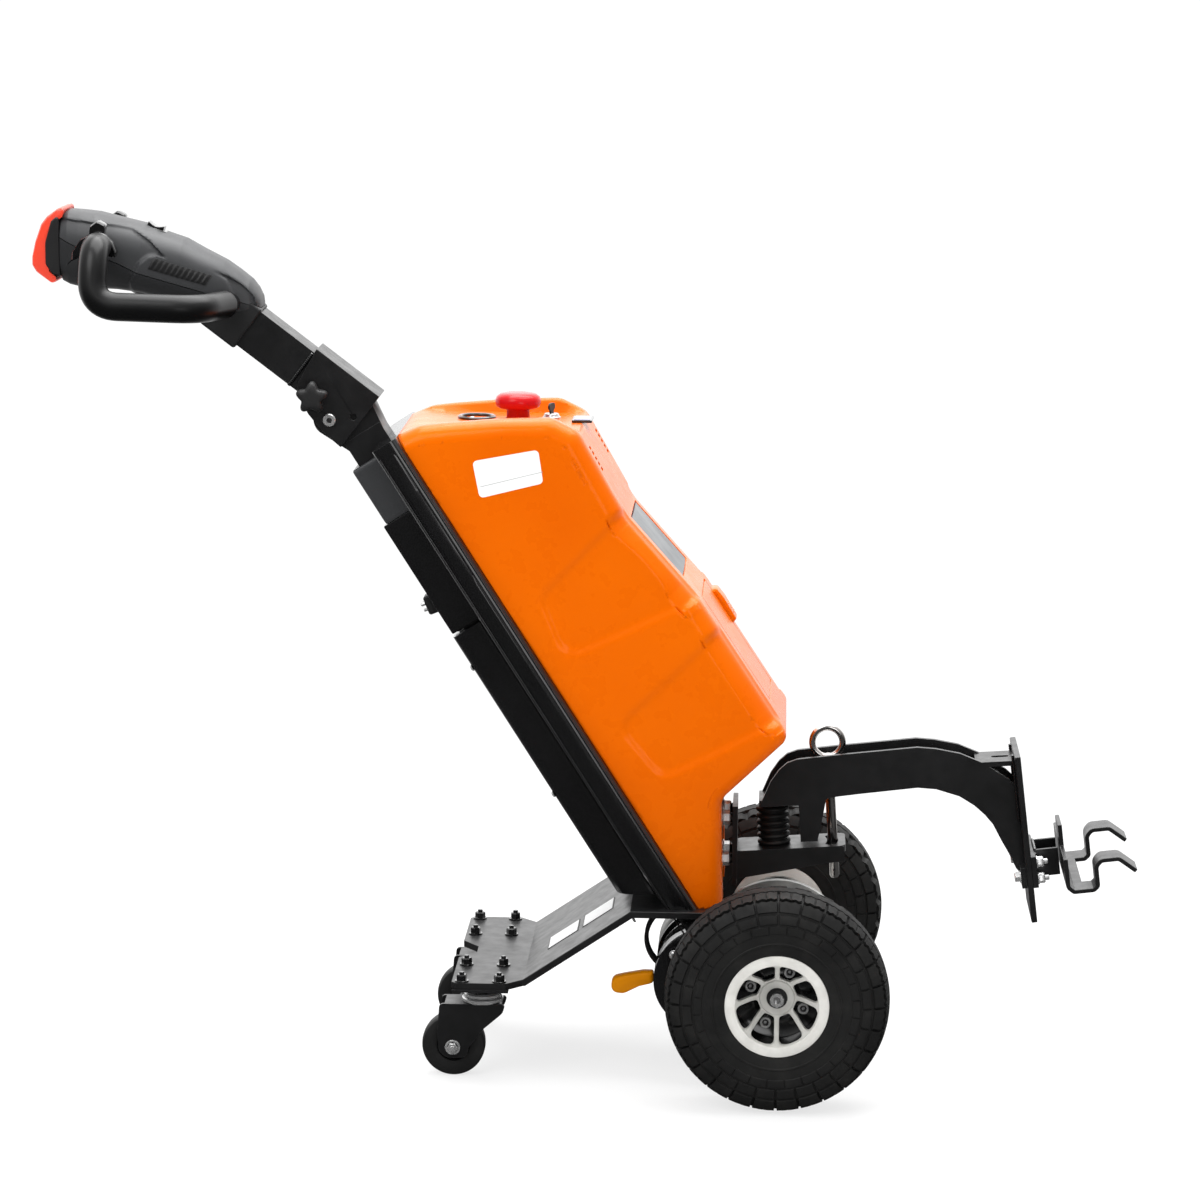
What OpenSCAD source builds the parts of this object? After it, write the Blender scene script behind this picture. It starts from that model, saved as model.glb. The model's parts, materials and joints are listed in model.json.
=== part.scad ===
// Electric tugger: a walk-behind powered tug with two drive wheels, two swivel casters,
// a folding tiller and a tow arm that ends in a two-prong hook.
// Millimetres. +X points forward (tow hook), +Y to the machine's left, +Z up, floor at Z = 0.

/* [Drive wheels] */
// Outside diameter of a drive tyre
tyre_d = 260; // [230:2:300]
// Width of a drive tyre
tyre_w = 84; // [70:1:96]
// Distance between the two tyres' middle planes
track = 430; // [400:5:480]
// Diameter of the rim's flange
rim_flange_d = 121; // [110:1:130]
// Width over the rim's flanges
rim_w = 76; // [64:1:82]
// Number of rim spokes
rim_spokes = 8; // [6:1:10]
// Diameter of a half shaft
shaft_d = 22; // [18:1:26]

/* [Casters] */
// Diameter of a caster wheel
caster_d = 75; // [65:1:85]
// Tread width of a caster wheel
caster_w = 26; // [20:1:30]
// Trail of the caster's axle behind its swivel axis
caster_trail = 34; // [28:1:40]
// Distance between the two swivel axes
caster_spacing = 215; // [200:5:260]
// Distance of the swivel axes behind the drive axle
caster_back = 348; // [330:2:380]
// Length across a caster's top plate
caster_plate_l = 95; // [85:1:105]
// Width of a caster's top plate, fore and aft
caster_plate_w = 66; // [60:1:75]

/* [Base plate] */
// Thickness of the bent base plate
base_t = 8; // [6:1:10]
// Width of the ramp and of the deck
deck_w = 266; // [250:2:290]
// Width of the tail over the casters
tail_w = 306; // [300:2:330]
// Height of the tail's top face
tail_z = 123; // [118:1:130]
// Height of the deck's top face above the drive axle
deck_above_axle = 78; // [74:1:90]
// Slope of the ramp from the level
ramp_angle = 34; // [28:1:40]

/* [Mast and hood] */
// Slope of the mast and the hood from the level
mast_angle = 57.3; // [50:0.1:65]
// Side of the square mast tube
mast_w = 49; // [45:1:55]
// Wall of the mast tube and the tiller tube
tube_wall = 3; // [2:0.5:4]
// Width of the hood
hood_w = 226; // [210:2:250]
// Wall of the hood's moulding
hood_wall = 4; // [3:0.5:6]
// How far the black tray stands out beyond the hood on each side
tray_margin = 9; // [6:1:14]

/* [Tiller] */
// Distance of the fold bolt up along the mast, from the mast frame's datum
fold_s = 937.4; // [930:0.1:1000]
// Slope of the tiller tube from the level
tiller_angle = 37; // [30:1:45]
// Diameter of the fold bolt
fold_bolt_d = 14; // [10:1:16]
// Thickness of the fold bracket's plates
bracket_t = 6; // [4:1:8]
// Diameter of the loop grips
grip_d = 33; // [28:1:36]

/* [Tow arm] */
// Pitch of the tow arm's assembly, front end up
hitch_pitch = 4; // [0:1:8]
// Outside width over the arm's two side plates
arm_w = 58; // [50:1:66]
// Thickness of the arm's side plates
arm_t = 6; // [5:1:8]
// Diameter of the kingpin that the arm swings on
kingpin_d = 20; // [16:1:24]
// Diameter of the loop-handled hitch pin
hitch_pin_d = 12; // [10:1:14]
// Distance of the hitch pin ahead of the kingpin
hitch_pin_ahead = 70; // [62:1:78]
// Swing of the arm to each side within the drawbar's slot
arm_swing = 15; // [5:1:18]
// Width of the hitch plate at the arm's end
hitch_plate_w = 114; // [100:2:130]
// Height of the hitch plate
hitch_plate_h = 202; // [190:2:220]
// Width over the fork hook's two prongs
hook_w = 190; // [170:2:210]
// Width of one prong
prong_w = 38; // [30:1:45]
// Thickness of the plate that the hook is bent from
hook_t = 5; // [4:0.5:7]

/* [Hidden] */
$fn = 64;

LEFT = 1;
RIGHT = -1;
// Radial gap of a running fit
run_gap = 0.06;
// Gap between a moving face and the face it turns on
face_gap = 0.4;

// The drive axle stands this far ahead of the origin, so the origin is the middle of the plan
axle_x = 236.6;
axle_z = tyre_d / 2;
deck_z = axle_z + deck_above_axle;
tray_w = hood_w + 2 * tray_margin;

// Base plate stations, measured from the drive axle
tail_end = -caster_back - caster_plate_w / 2 - 1;
tail_front = -caster_back + 30;
ramp_foot = -caster_back + 49;
ramp_head = ramp_foot + (deck_z - tail_z) / tan(ramp_angle);
deck_front = -75;

// Casters
caster_plate_t = 3;
caster_top = tail_z - base_t;
swivel_r = 24;
crown_z = caster_top - caster_plate_t - 9;

// Mast frame: n runs forward and up out of the mast, s runs up along it. Its datum lies
// this far below the deck's top face.
datum_drop = 208;
mast_n = -12;
mast_front = mast_n + mast_w / 2;
mast_rear = mast_n - mast_w / 2;
mast_top = fold_s - 33.4;
cover_rear = -50;
hood_back = 33.5;
// Height of the dish in the hood's top above the datum
dish_z = 768;
tray_back = 0;

// Middle of the motor from the drive axle, and the width of the plate that the drawbar bolts to
motor_x = -88;
motor_z = axle_z - 2;
upright_w = 74;

// Fold joint: the ear on the mast sits between the bracket's plates
fold_n = mast_rear + 1.3;
ear_r = 20;
tube_lo = 2.6;
tube_hi = tube_lo + mast_w;
tiller_end = -ear_r - 6;
ear_w = mast_w - 1;
tiller_w = mast_w;
bracket_w = tiller_w + 2 * bracket_t + 1;
// Half width of the collar round the tiller tube, and the stubs that the throttles turn on
collar_y = tiller_w / 2 + 5;
stub_d = 20;

// Hitch frame: origin where the kingpin stands on the drawbar's top face
kingpin_x = -6;
kingpin_z = deck_z + 54;
drawbar_t = 8;
arm_in = arm_w / 2 - arm_t;
guide_lz = 72;
// Top rear edge of the hitch plate and its lean in the hitch frame
plate_x = 289;
plate_z = 102;
plate_lean = 3.2;
plate_t = 7;
plate_hole_y = 42;
// Front faces in the plate frame: the bracket's base, and the hook's back flange
bracket_x = plate_t + 6;
flange_x = 43.3;

// Where the hitch plate's rear face stands at a height in the hitch frame
function plate_back(lz) = plate_x + (plate_z - lz) * tan(plate_lean);

module at_axle() translate([axle_x, 0, 0]) children();

// Places children so that X is n and Z is s
module mast_frame() at_datum() rotate([0, mast_angle - 90, 0]) children();

// Turns children level again inside the mast frame
module level() rotate([0, 90 - mast_angle, 0]) children();

// Places children at the mast's datum, level with the floor
module at_datum() at_axle() translate([0, 0, deck_z - datum_drop]) children();

// Places children at the fold bolt, level with the floor
module fold_frame()
    mast_frame() translate([fold_n, 0, fold_s]) rotate([0, 90 - mast_angle, 0]) children();

// Places children at the fold bolt, with -X up along the tiller tube
module tiller_frame() fold_frame() rotate([0, tiller_angle, 0]) children();

// Places children at the kingpin, Z along it
module hitch_frame()
    at_axle() translate([kingpin_x, 0, kingpin_z]) rotate([0, -hitch_pitch, 0]) children();

// Places children at the top rear edge of the hitch plate, Z up along it
module plate_frame()
    hitch_frame() translate([plate_x, 0, plate_z]) rotate([0, -plate_lean, 0]) children();

// A side outline in X and Z, given a width along Y
module across(w) rotate([90, 0, 0]) linear_extrude(height = w, center = true) children();

// A cylinder along Y, centred
module rod_y(d, w) rotate([90, 0, 0]) cylinder(d = d, h = w, center = true);

// An outline with its outer corners rounded
module rounded(r) offset(r = r, $fn = 32) offset(delta = -r) children();

// A box given by its low corner and its high corner
module span(lo, hi) translate(lo) cube(hi - lo);

function unit(v) = v / norm(v);

// The outline of a flat strip bent along a list of points, with mitred corners
function left_of(a, b) = unit([a.y - b.y, b.x - a.x]);
function mitre(p, i) =
    let (a = i > 0 ? left_of(p[i - 1], p[i]) : left_of(p[0], p[1]),
         b = i < len(p) - 1 ? left_of(p[i], p[i + 1]) : a)
    (a + b) / (1 + a * b);
module strip(p, t) {
    last = len(p) - 1;
    polygon(concat(
        [for (i = [0 : last]) p[i] + t / 2 * mitre(p, i)],
        [for (i = [last : -1 : 0]) p[i] - t / 2 * mitre(p, i)]));
}

// Points of a path whose corners are rounded by arcs of a given tangent length
function rounded_path(p, cut, steps) = concat([p[0]],
    [for (i = [1 : len(p) - 2], k = [0 : steps])
        let (a = p[i] + cut * unit(p[i - 1] - p[i]),
             b = p[i] + cut * unit(p[i + 1] - p[i]),
             t = k / steps)
            (1 - t) * (1 - t) * a + 2 * t * (1 - t) * p[i] + t * t * b],
    [p[len(p) - 1]]);

// A round tube skin swept along a path, closed at both ends
module sweep(path, d, sides) {
    n = len(path);
    tangents = [for (i = [0 : n - 1]) unit(path[min(i + 1, n - 1)] - path[max(i - 1, 0)])];
    rings = [for (i = [0 : n - 1])
        let (u = unit(cross(tangents[i], [0.3, 0.2, 1])), v = cross(tangents[i], u))
            for (k = [0 : sides - 1])
                let (a = k * 360 / sides)
                    path[i] + d / 2 * (cos(a) * u + sin(a) * v)];
    walls = [for (i = [0 : n - 2], k = [0 : sides - 1])
        let (a = i * sides + k, b = i * sides + (k + 1) % sides)
            each [[a, b + sides, b], [a, a + sides, b + sides]]];
    ends = [[for (k = [0 : sides - 1]) k],
            [for (k = [sides - 1 : -1 : 0]) (n - 1) * sides + k]];
    polyhedron(points = rings, faces = concat(walls, ends), convexity = 6);
}

// ---- Base plate and casters ----

// Underside of the bent plate, from its front edge to its rear edge
UNDERSIDE = [
    [deck_front, deck_z - base_t], [ramp_head + base_t * tan(ramp_angle / 2), deck_z - base_t],
    [ramp_foot + base_t * tan(ramp_angle / 2), tail_z - base_t], [tail_end, tail_z - base_t]
];

module base_plate() {
    color("#3c3d3f") at_axle() difference() {
        intersection() {
            across(tail_w + 2) polygon(concat(UNDERSIDE, [
                [tail_end, tail_z], [ramp_foot, tail_z], [ramp_head, deck_z], [deck_front, deck_z]
            ]));
            linear_extrude(height = 2 * deck_z) polygon([
                [tail_end, -tail_w / 2 + 6], [tail_end + 6, -tail_w / 2], [tail_front, -tail_w / 2],
                [ramp_foot, -deck_w / 2], [deck_front, -deck_w / 2],
                [deck_front, deck_w / 2], [ramp_foot, deck_w / 2],
                [tail_front, tail_w / 2], [tail_end + 6, tail_w / 2], [tail_end, tail_w / 2 - 6]
            ]);
        }
        // notch in the rear edge
        translate([tail_end, 0, tail_z]) linear_extrude(height = 3 * base_t, center = true)
            polygon([[-1, -40], [-1, 40], [20, 12], [20, -12]]);
    }
}

module caster_plates() {
    color("#2a2a2b") at_axle() for (side = [LEFT, RIGHT])
        translate([-caster_back, side * caster_spacing / 2, caster_top - caster_plate_t]) {
            translate([-caster_plate_w / 2, -caster_plate_l / 2, 0])
                cube([caster_plate_w, caster_plate_l, caster_plate_t]);
            // raceway dome and the stub that the fork turns on
            translate([0, 0, -5]) cylinder(r = swivel_r, h = 5);
            translate([0, 0, -18]) cylinder(d = 12, h = 14);
        }
}

module caster_fork(side) {
    leg_t = 3;
    leg_y = caster_w / 2 + 3;
    color("#232324") at_axle()
        translate([-caster_back, side * caster_spacing / 2, 0]) difference() {
            union() {
                // crown
                translate([-caster_trail / 2, 0, crown_z - 3])
                    linear_extrude(height = 3) rounded(8)
                        square([caster_trail + 38, 2 * (leg_y + leg_t)], center = true);
                translate([0, 0, crown_z]) cylinder(r = swivel_r + 2, h = 4 - face_gap);
                // two legs and the axle boss
                for (leg = [-1, 1]) translate([0, leg * (leg_y + leg_t / 2), 0])
                    across(leg_t) hull() {
                        translate([-caster_trail, caster_d / 2]) circle(r = 13);
                        translate([-caster_trail - 12, crown_z - 2]) square([10, 2]);
                        translate([22, crown_z - 2]) square([6, 2]);
                    }
                translate([-caster_trail, 0, caster_d / 2])
                    rod_y(9.9 - 2 * run_gap, 2 * (leg_y + leg_t) + 8);
            }
            translate([0, 0, crown_z - 10]) cylinder(d = 12 + 2 * run_gap, h = 20);
        }
}

module caster_wheel(side) {
    bore_d = 9.9;
    color("#1b1b1c") at_axle()
        translate([-caster_back - caster_trail, side * caster_spacing / 2, caster_d / 2])
            rotate([90, 0, 0]) rotate_extrude() {
                difference() {
                    translate([bore_d / 2, -caster_w / 2])
                        square([caster_d / 2 - bore_d / 2, caster_w]);
                    for (end = [-1, 1]) translate([caster_d / 2, end * caster_w / 2])
                        rotate(45) square(5, center = true);
                    for (end = [-1, 1]) translate([12, end * caster_w / 2 - 2]) square([11, 4]);
                }
                translate([bore_d / 2, -caster_w / 2 - 2]) square([5, caster_w + 4]);
            }
}

// ---- Drive wheels ----

module tyre(side) {
    tread = tyre_w - 18;
    bead_r = rim_flange_d / 2 - 6;
    color("#1d1d1e") at_axle() translate([0, side * track / 2, axle_z])
        rotate([90, 0, 0]) rotate_extrude($fn = 96) intersection() {
            translate([bead_r, -tyre_w / 2]) square([tyre_d / 2 - bead_r, tyre_w]);
            polygon([
                [bead_r, -rim_w / 2 + 7], [bead_r + 9, -rim_w / 2 + 2], [bead_r + 20, -tyre_w / 2 + 1],
                [bead_r + 34, -tyre_w / 2], [bead_r + 48, -tyre_w / 2 + 1.5],
                [tyre_d / 2 - 13, -tyre_w / 2 + 4], [tyre_d / 2 - 4, -tread / 2],
                [tyre_d / 2 - 1, -tread / 4], [tyre_d / 2, 0], [tyre_d / 2 - 1, tread / 4],
                [tyre_d / 2 - 4, tread / 2], [tyre_d / 2 - 13, tyre_w / 2 - 4],
                [bead_r + 48, tyre_w / 2 - 1.5], [bead_r + 34, tyre_w / 2],
                [bead_r + 20, tyre_w / 2 - 1], [bead_r + 9, rim_w / 2 - 2], [bead_r, rim_w / 2 - 7]
            ]);
        }
}

module rim(side) {
    flange_r = rim_flange_d / 2;
    bead_r = flange_r - 6;
    hub_r = 21;
    face_out = rim_w / 2 - 3;
    color("#c9cbcd") at_axle() translate([0, side * track / 2, axle_z])
        rotate([-90 * side, 0, 0]) difference() {
            union() {
                // barrel with its two flanges
                rotate_extrude() {
                    translate([bead_r - 5, -rim_w / 2]) square([5 - run_gap, rim_w]);
                    translate([bead_r - 5, rim_w / 2 - 3]) square([11, 3]);
                    translate([bead_r - 5, -rim_w / 2]) square([11, 3]);
                    // centre web
                    translate([hub_r - 1, -4]) square([bead_r - hub_r, 6]);
                }
                // hub
                translate([0, 0, -rim_w / 2 + 6]) cylinder(r = hub_r, h = rim_w - 8);
                // spokes of the outer face
                translate([0, 0, face_out - 9]) linear_extrude(height = 9) {
                    difference() {
                        circle(r = bead_r - 1);
                        circle(r = bead_r - 9);
                    }
                    for (i = [0 : rim_spokes - 1]) rotate(i * 360 / rim_spokes)
                        translate([hub_r - 2, -2.5]) square([bead_r - hub_r - 2, 5]);
                }
            }
            translate([0, 0, -rim_w]) cylinder(d = shaft_d, h = 2 * rim_w);
        }
}

module half_shaft(side) {
    inner_end = 60;
    outer_end = track / 2 + rim_w / 2 + 8;
    color("#b5b7b9") at_axle() translate([0, 0, axle_z]) rotate([-90 * side, 0, 0]) {
        translate([0, 0, inner_end]) cylinder(d = shaft_d, h = outer_end - inner_end);
        // nut and washer
        translate([0, 0, track / 2 + rim_w / 2 - 2]) cylinder(d = 30, h = 2);
        translate([0, 0, track / 2 + rim_w / 2]) cylinder(d = 27, h = 5, $fn = 6);
    }
}

// ---- Mast, covers and hood ----

module mast() {
    color("#1c1c1d") mast_frame() {
        difference() {
            translate([mast_rear, -mast_w / 2, 255]) cube([mast_w, mast_w, mast_top - 255]);
            translate([mast_rear + tube_wall, -mast_w / 2 + tube_wall, 200])
                cube([mast_w - 2 * tube_wall, mast_w - 2 * tube_wall, mast_top - 220]);
            // foot cut level with the deck
            level() translate([-400, -100, 0]) cube([500, 200, datum_drop]);
        }
        // ear that the tiller folds on, with its stop under the bracket's web
        difference() {
            across(ear_w) hull() {
                translate([fold_n, fold_s]) circle(r = ear_r);
                translate([fold_n, fold_s]) rotate(mast_angle - 90 - tiller_angle)
                    translate([14, tube_hi - 8]) circle(r = 7.5, $fn = 32);
                translate([mast_rear + 0.5, mast_top - 12]) square([mast_w - 1, 12]);
            }
            translate([fold_n, 0, fold_s]) rod_y(fold_bolt_d + 2 * run_gap, mast_w + 2);
        }
    }
}

module mast_sleeve() {
    color("#4a4b4d") mast_frame() difference() {
        span([-46, -34, 797], [tray_back - 0.3, 34, 872]);
        span([mast_rear - 0.3, -mast_w / 2 - 0.3, 790], [60, mast_w / 2 + 0.3, 880]);
    }
}

module mast_cover() {
    color("#19191a") mast_frame() difference() {
        span([cover_rear, -32, 645], [tray_back - 0.3, 32, 797]);
        span([mast_rear - 0.3, -mast_w / 2 - 0.3, 640], [60, mast_w / 2 + 0.3, 800]);
        // recess that the charger plug sits in
        span([cover_rear - 1, -16, 640], [mast_rear - 2, 16, 712]);
    }
}

module back_cover() {
    color("#161617") mast_frame() difference() {
        translate([0, 0, 200]) linear_extrude(height = 443) rounded(14)
            translate([cover_rear, -52]) square([tray_back - 0.3 - cover_rear, 104]);
        span([cover_rear + 4, -48, 190], [20, 48, 639]);
        span([mast_rear - 0.3, -mast_w / 2 - 0.3, 190], [20, mast_w / 2 + 0.3, 650]);
        // pocket mouth
        span([cover_rear + 4, -20, 630], [mast_rear - 2, 20, 650]);
        level() translate([-400, -100, 0]) cube([500, 200, datum_drop]);
    }
}

module rear_tray() {
    lip_y = hood_w / 2 - hood_wall - 4;
    color("#141415") mast_frame() difference() {
        translate([0, 0, 190]) linear_extrude(height = 884 - 190) rounded(10)
            translate([tray_back, -tray_w / 2]) square([hood_back - tray_back - 0.3, tray_w]);
        // hollow behind the lip that the hood's edge seats on
        translate([0, 0, 190]) linear_extrude(height = 690 - 4) rounded(8)
            translate([tray_back + 4, -tray_w / 2 + 5])
                square([hood_back - tray_back - 9, tray_w - 10]);
        span([tray_back + 10, -lip_y, 180], [60, lip_y, 864]);
        // the mast runs down behind the tray's wall
        span([-60, -mast_w / 2 - 0.3, 100], [mast_front + 0.3, mast_w / 2 + 0.3, 900]);
        level() translate([-400, -200, 0]) cube([500, 400, datum_drop]);
    }
}

// Side outline of the hood in n and s, grown inwards by a wall
module hood_outline(wall) {
    offset(delta = -wall) rounded(22) polygon([
        [hood_back, 180], [hood_back, 884], [60, 880], [85, 868], [146, 836], [196, 806],
        [214, 776], [208, 660], [229, 530], [232, 342], [124, 321], [38, 180]
    ]);
}

module hood_solid(wall) {
    intersection() {
        across(hood_w - 2 * wall) hood_outline(wall);
        linear_extrude(height = 1000) rounded(26)
            translate([0, -hood_w / 2 + wall]) square([232 - wall, hood_w - 2 * wall]);
        rotate([0, mast_angle - 90, 0]) translate([-100, 0, 0]) rotate([90, 0, 90])
            linear_extrude(height = 1000) rounded(20)
                translate([-hood_w / 2 + wall, -100]) square([hood_w - 2 * wall, 1100]);
    }
}

module hood() {
    color("#f07a10") mast_frame() difference() {
        hood_solid(0);
        intersection() {
            hood_solid(hood_wall);
            level() translate([-500, -200, 0]) cube([700, 400, dish_z - hood_wall]);
        }
        span([-20, -200, 0], [hood_back, 200, 1000]);
        span([0, -hood_w / 2 + 12, 200], [hood_back + 8, hood_w / 2 - 12, 850]);
        // shallow dish of the top
        level() translate([-420, -75, dish_z]) cube([190, 150, 60]);
        // foot level with the deck, and the gap that the upright stands in
        level() {
            translate([-500, -200, -100]) cube([700, 400, datum_drop + 100]);
            translate([deck_front - 8, -42, 0]) cube([80, 84, 345]);
        }
    }
}

module hood_window() {
    color("#6d7073") mast_frame() intersection() {
        span([200, -62, 565], [240, 62, 655]);
        difference() {
            hood_solid(-1.5);
            hood_solid(-0.2);
        }
    }
}

module hood_latch() {
    color("#e86f0c") mast_frame() span([230.2, 60, 470], [238, 92, 515]);
}

module battery() {
    color("#333436") mast_frame() span([mast_front + 0.3, -85, 350], [160, 85, 600]);
}

module emergency_stop() {
    color("#d01a20") at_datum() translate([-316, 0, dish_z]) {
        cylinder(d = 28, h = 14);
        translate([0, 0, 12]) rotate_extrude() intersection() {
            union() {
                translate([0, 2]) square([20, 20]);
                translate([17, 11]) circle(r = 10);
            }
            square([40, 22]);
        }
    }
}

module key_switch() {
    color("#9a9c9e") at_datum() translate([-278, 26, dish_z]) {
        cylinder(d = 22, h = 5);
        translate([-2, -8, 4]) cube([4, 16, 14]);
    }
}

module battery_display() {
    color("#30343a") at_datum() translate([-252, -14, dish_z]) cube([24, 40, 4]);
}

module charge_socket() {
    color("#1a1a1b") at_datum() translate([-366, 18, dish_z]) difference() {
        cylinder(d = 46, h = 4);
        translate([0, 0, 2]) cylinder(d = 36, h = 4);
    }
}

module charger_plug() {
    plug_n = mast_rear - 6.2;
    color("#202021") mast_frame() translate([plug_n, 0, 673]) rotate([0, 10, 0]) {
        translate([-26, -14, -4]) cube([26, 28, 24]);
        // strain relief and the lead that drops into the pocket
        translate([-6, 0, -14]) cylinder(d = 13, h = 12);
        for (prong = [[-18, 0], [-8, -6], [-8, 6]])
            translate([prong.x, prong.y - 3, 19]) cube([2, 6, 17]);
    }
}

// ---- Transaxle ----

module transaxle_housing() {
    color("#b9bbbc") at_axle() {
        translate([0, 10, axle_z]) rod_y(150, 70);
        translate([motor_x, 6, motor_z]) rod_y(112, 64);
        translate([motor_x / 2, 10, axle_z]) cube([90, 60, 100], center = true);
        translate([0, 10, axle_z]) rod_y(168, 10);
        // lugs up to the deck's underside
        translate([-112, -20, axle_z + 40]) cube([36, 60, deck_above_axle - base_t - 40]);
    }
}

module axle_tubes() {
    tube_end = track / 2 - rim_w / 2 - 12;
    color("#a8aaac") at_axle() translate([0, 0, axle_z]) for (side = [LEFT, RIGHT])
        rotate([-90 * side, 0, 0]) difference() {
            union() {
                translate([0, 0, side == LEFT ? 45 : 25])
                    cylinder(d = 46, h = tube_end - (side == LEFT ? 45 : 25));
                translate([0, 0, tube_end - 10]) cylinder(d = 60, h = 10);
            }
            cylinder(d = shaft_d + 2 * run_gap, h = track);
        }
}

module motor() {
    color("#18181a") at_axle() translate([motor_x, 0, motor_z]) {
        translate([0, -66, 0]) rod_y(104, 76);
        translate([0, -30, 0]) rod_y(112, 8);
    }
}

module brake_unit() {
    color("#1b1b1c") at_axle() translate([motor_x, -124, motor_z]) {
        rod_y(114, 39);
        translate([0, -23, 0]) rod_y(70, 6);
    }
}

module brake_release_lever() {
    color("#f0a800") at_axle() translate([motor_x, -118, motor_z - 10]) hull() {
        translate([-58.4, 0, 4]) cube([2, 20, 22], center = true);
        translate([-97, 0, -2]) rod_y(20, 20);
    }
}

module motor_cables() {
    sweep_r = 40;
    bow = 100;
    // two bowed leads behind the brake, which end at the plate's underside
    color("#111112") at_axle() difference() {
        for (y = [-98, -84])
            translate([-155.2 + sweep_r, y, deck_z - base_t - 32.8]) rotate([90, 0, 0])
                rotate(180 - bow / 2) rotate_extrude(angle = bow)
                    translate([sweep_r, 0]) circle(d = 5);
        translate([0, 0, -0.2]) across(tail_w)
            polygon(concat(UNDERSIDE, [[tail_end, 2 * deck_z], [deck_front, 2 * deck_z]]));
    }
}

// ---- Front upright and drawbar ----

module front_upright() {
    color("#19191a") at_axle() {
        span([deck_front, -upright_w / 2, deck_z - base_t - 4],
             [deck_front + 7, upright_w / 2, deck_z + 122]);
        for (y = [-26, 26], z = [40, 90]) translate([deck_front + 7, y, deck_z + z]) rotate([0, 90, 0])
            cylinder(d = 12, h = 12);
    }
}

module drawbar() {
    half = 34;
    back = -47;
    front = hitch_pin_ahead + 15;
    slot_r = hitch_pin_d / 2 + 0.6;
    color("#202021") hitch_frame() difference() {
        union() {
            // top plate with round front corners
            translate([0, 0, -drawbar_t]) linear_extrude(height = drawbar_t) rounded(10)
                translate([back, -half]) square([front - back, 2 * half]);
            // side webs, deep at the upright
            for (side = [-1, 1]) translate([0, side * (half - 3), 0]) across(6)
                polygon([[back, -1], [back, -34], [front - 22, -20], [front - 2, -19], [front - 2, -1]]);
            // back plate that bolts to the upright
            rotate([0, hitch_pitch, 0])
                span([back - 3, -upright_w / 2, -44], [back + 3, upright_w / 2, 52]);
        }
        // kingpin hole
        translate([0, 0, -20]) cylinder(d = kingpin_d, h = 40);
        // curved slot for the hitch pin
        translate([0, 0, -20]) rotate([0, 0, -arm_swing]) rotate_extrude(angle = 2 * arm_swing)
            translate([hitch_pin_ahead - slot_r, 0]) square([2 * slot_r, 40]);
        for (end = [-arm_swing, arm_swing]) rotate([0, 0, end])
            translate([hitch_pin_ahead, 0, -20]) cylinder(r = slot_r, h = 40);
    }
}

module kingpin() {
    color("#8f9193") hitch_frame() {
        translate([0, 0, -drawbar_t - 9]) cylinder(d = kingpin_d - 2 * run_gap, h = drawbar_t + 68);
        translate([0, 0, -drawbar_t - 11]) cylinder(d = 30, h = 11 - face_gap, $fn = 6);
    }
}

// ---- Tow arm ----

module swivel_barrel() {
    color("#161617") hitch_frame() difference() {
        union() {
            translate([0, 0, face_gap]) cylinder(d = kingpin_d + 10, h = 50);
            for (i = [0 : 4]) translate([0, 0, 8 + i * 7.5])
                cylinder(d = 2 * arm_in - 6, h = 4.5);
        }
        translate([0, 0, -1]) cylinder(d = kingpin_d, h = 60);
    }
}

module arm_side() {
    polygon([
        [-15, 51], [0, 81], [11, 95], [21, 103], [34, 107], [87, 110], [132, 112], [176, 114],
        [198, 111], [226, 104], [253, 91], [282, 70], [plate_back(60), 60],
        [plate_back(-52), -52], [291, -45], [286, -39], [278, -20], [270, -4], [261, 16], [252, 28],
        [240, 40], [223, 52], [196, 62], [174, 65], [105, 61], [77, 59], [65, 57],
        [59, 32], [52, 6], [32, 6], [32, 51]
    ]);
}

module tow_arm() {
    color("#1b1b1c") hitch_frame() difference() {
        union() {
            for (side = [-1, 1]) translate([0, side * (arm_w - arm_t) / 2, 0]) across(arm_t) arm_side();
            // cross plates: over the barrel, and the pin's guide
            span([-15, -arm_w / 2 + 1, 50.5], [32, arm_w / 2 - 1, 58.5]);
            span([40, -arm_in - 1, guide_lz], [100, arm_in + 1, guide_lz + 8]);
            // bridge to the hitch plate
            span([244, -arm_w / 2, 86], [plate_back(92), arm_w / 2, 92]);
        }
        translate([0, 0, 40]) cylinder(d = kingpin_d, h = 40);
        translate([hitch_pin_ahead, 0, 40]) cylinder(d = hitch_pin_d + 2 * run_gap, h = 60);
        // slot in the bridge
        for (x = [268, 280]) translate([x, 0, 80]) cylinder(d = 9, h = 20);
        span([268, -4.5, 80], [280, 4.5, 100]);
    }
}

module hitch_plate() {
    color("#1a1a1b") plate_frame() difference() {
        span([0, -hitch_plate_w / 2, -hitch_plate_h], [plate_t, hitch_plate_w / 2, 0]);
        // four bolt holes on a square
        for (y = [-plate_hole_y, plate_hole_y], z = [0, 2 * plate_hole_y])
            translate([-1, y, -15 - z]) rotate([0, 90, 0]) cylinder(d = 11, h = plate_t + 2);
    }
}

module hook_bracket() {
    channel_w = 54;
    wall = 4;
    color("#1b1b1c") plate_frame() difference() {
        union() {
            // base against the hitch plate, and the open channel to the hook's flange
            span([plate_t, -hitch_plate_w / 2, -160], [bracket_x, hitch_plate_w / 2, -122]);
            span([bracket_x, -channel_w / 2, -154], [flange_x - hook_t / 2, channel_w / 2, -121]);
        }
        span([bracket_x, -channel_w / 2 + wall, -154 + wall],
             [flange_x + 1, channel_w / 2 - wall, -110]);
    }
}

// Middle line of the fork hook in the plate frame
HOOK = [
    [flange_x, -94], [flange_x, -151], [47, -159], [54, -162.4], [72, -162.4], [79.5, -159],
    [83, -151], [83, -135], [85, -130], [90, -128], [105, -128], [109, -130], [125, -144]
];

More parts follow.
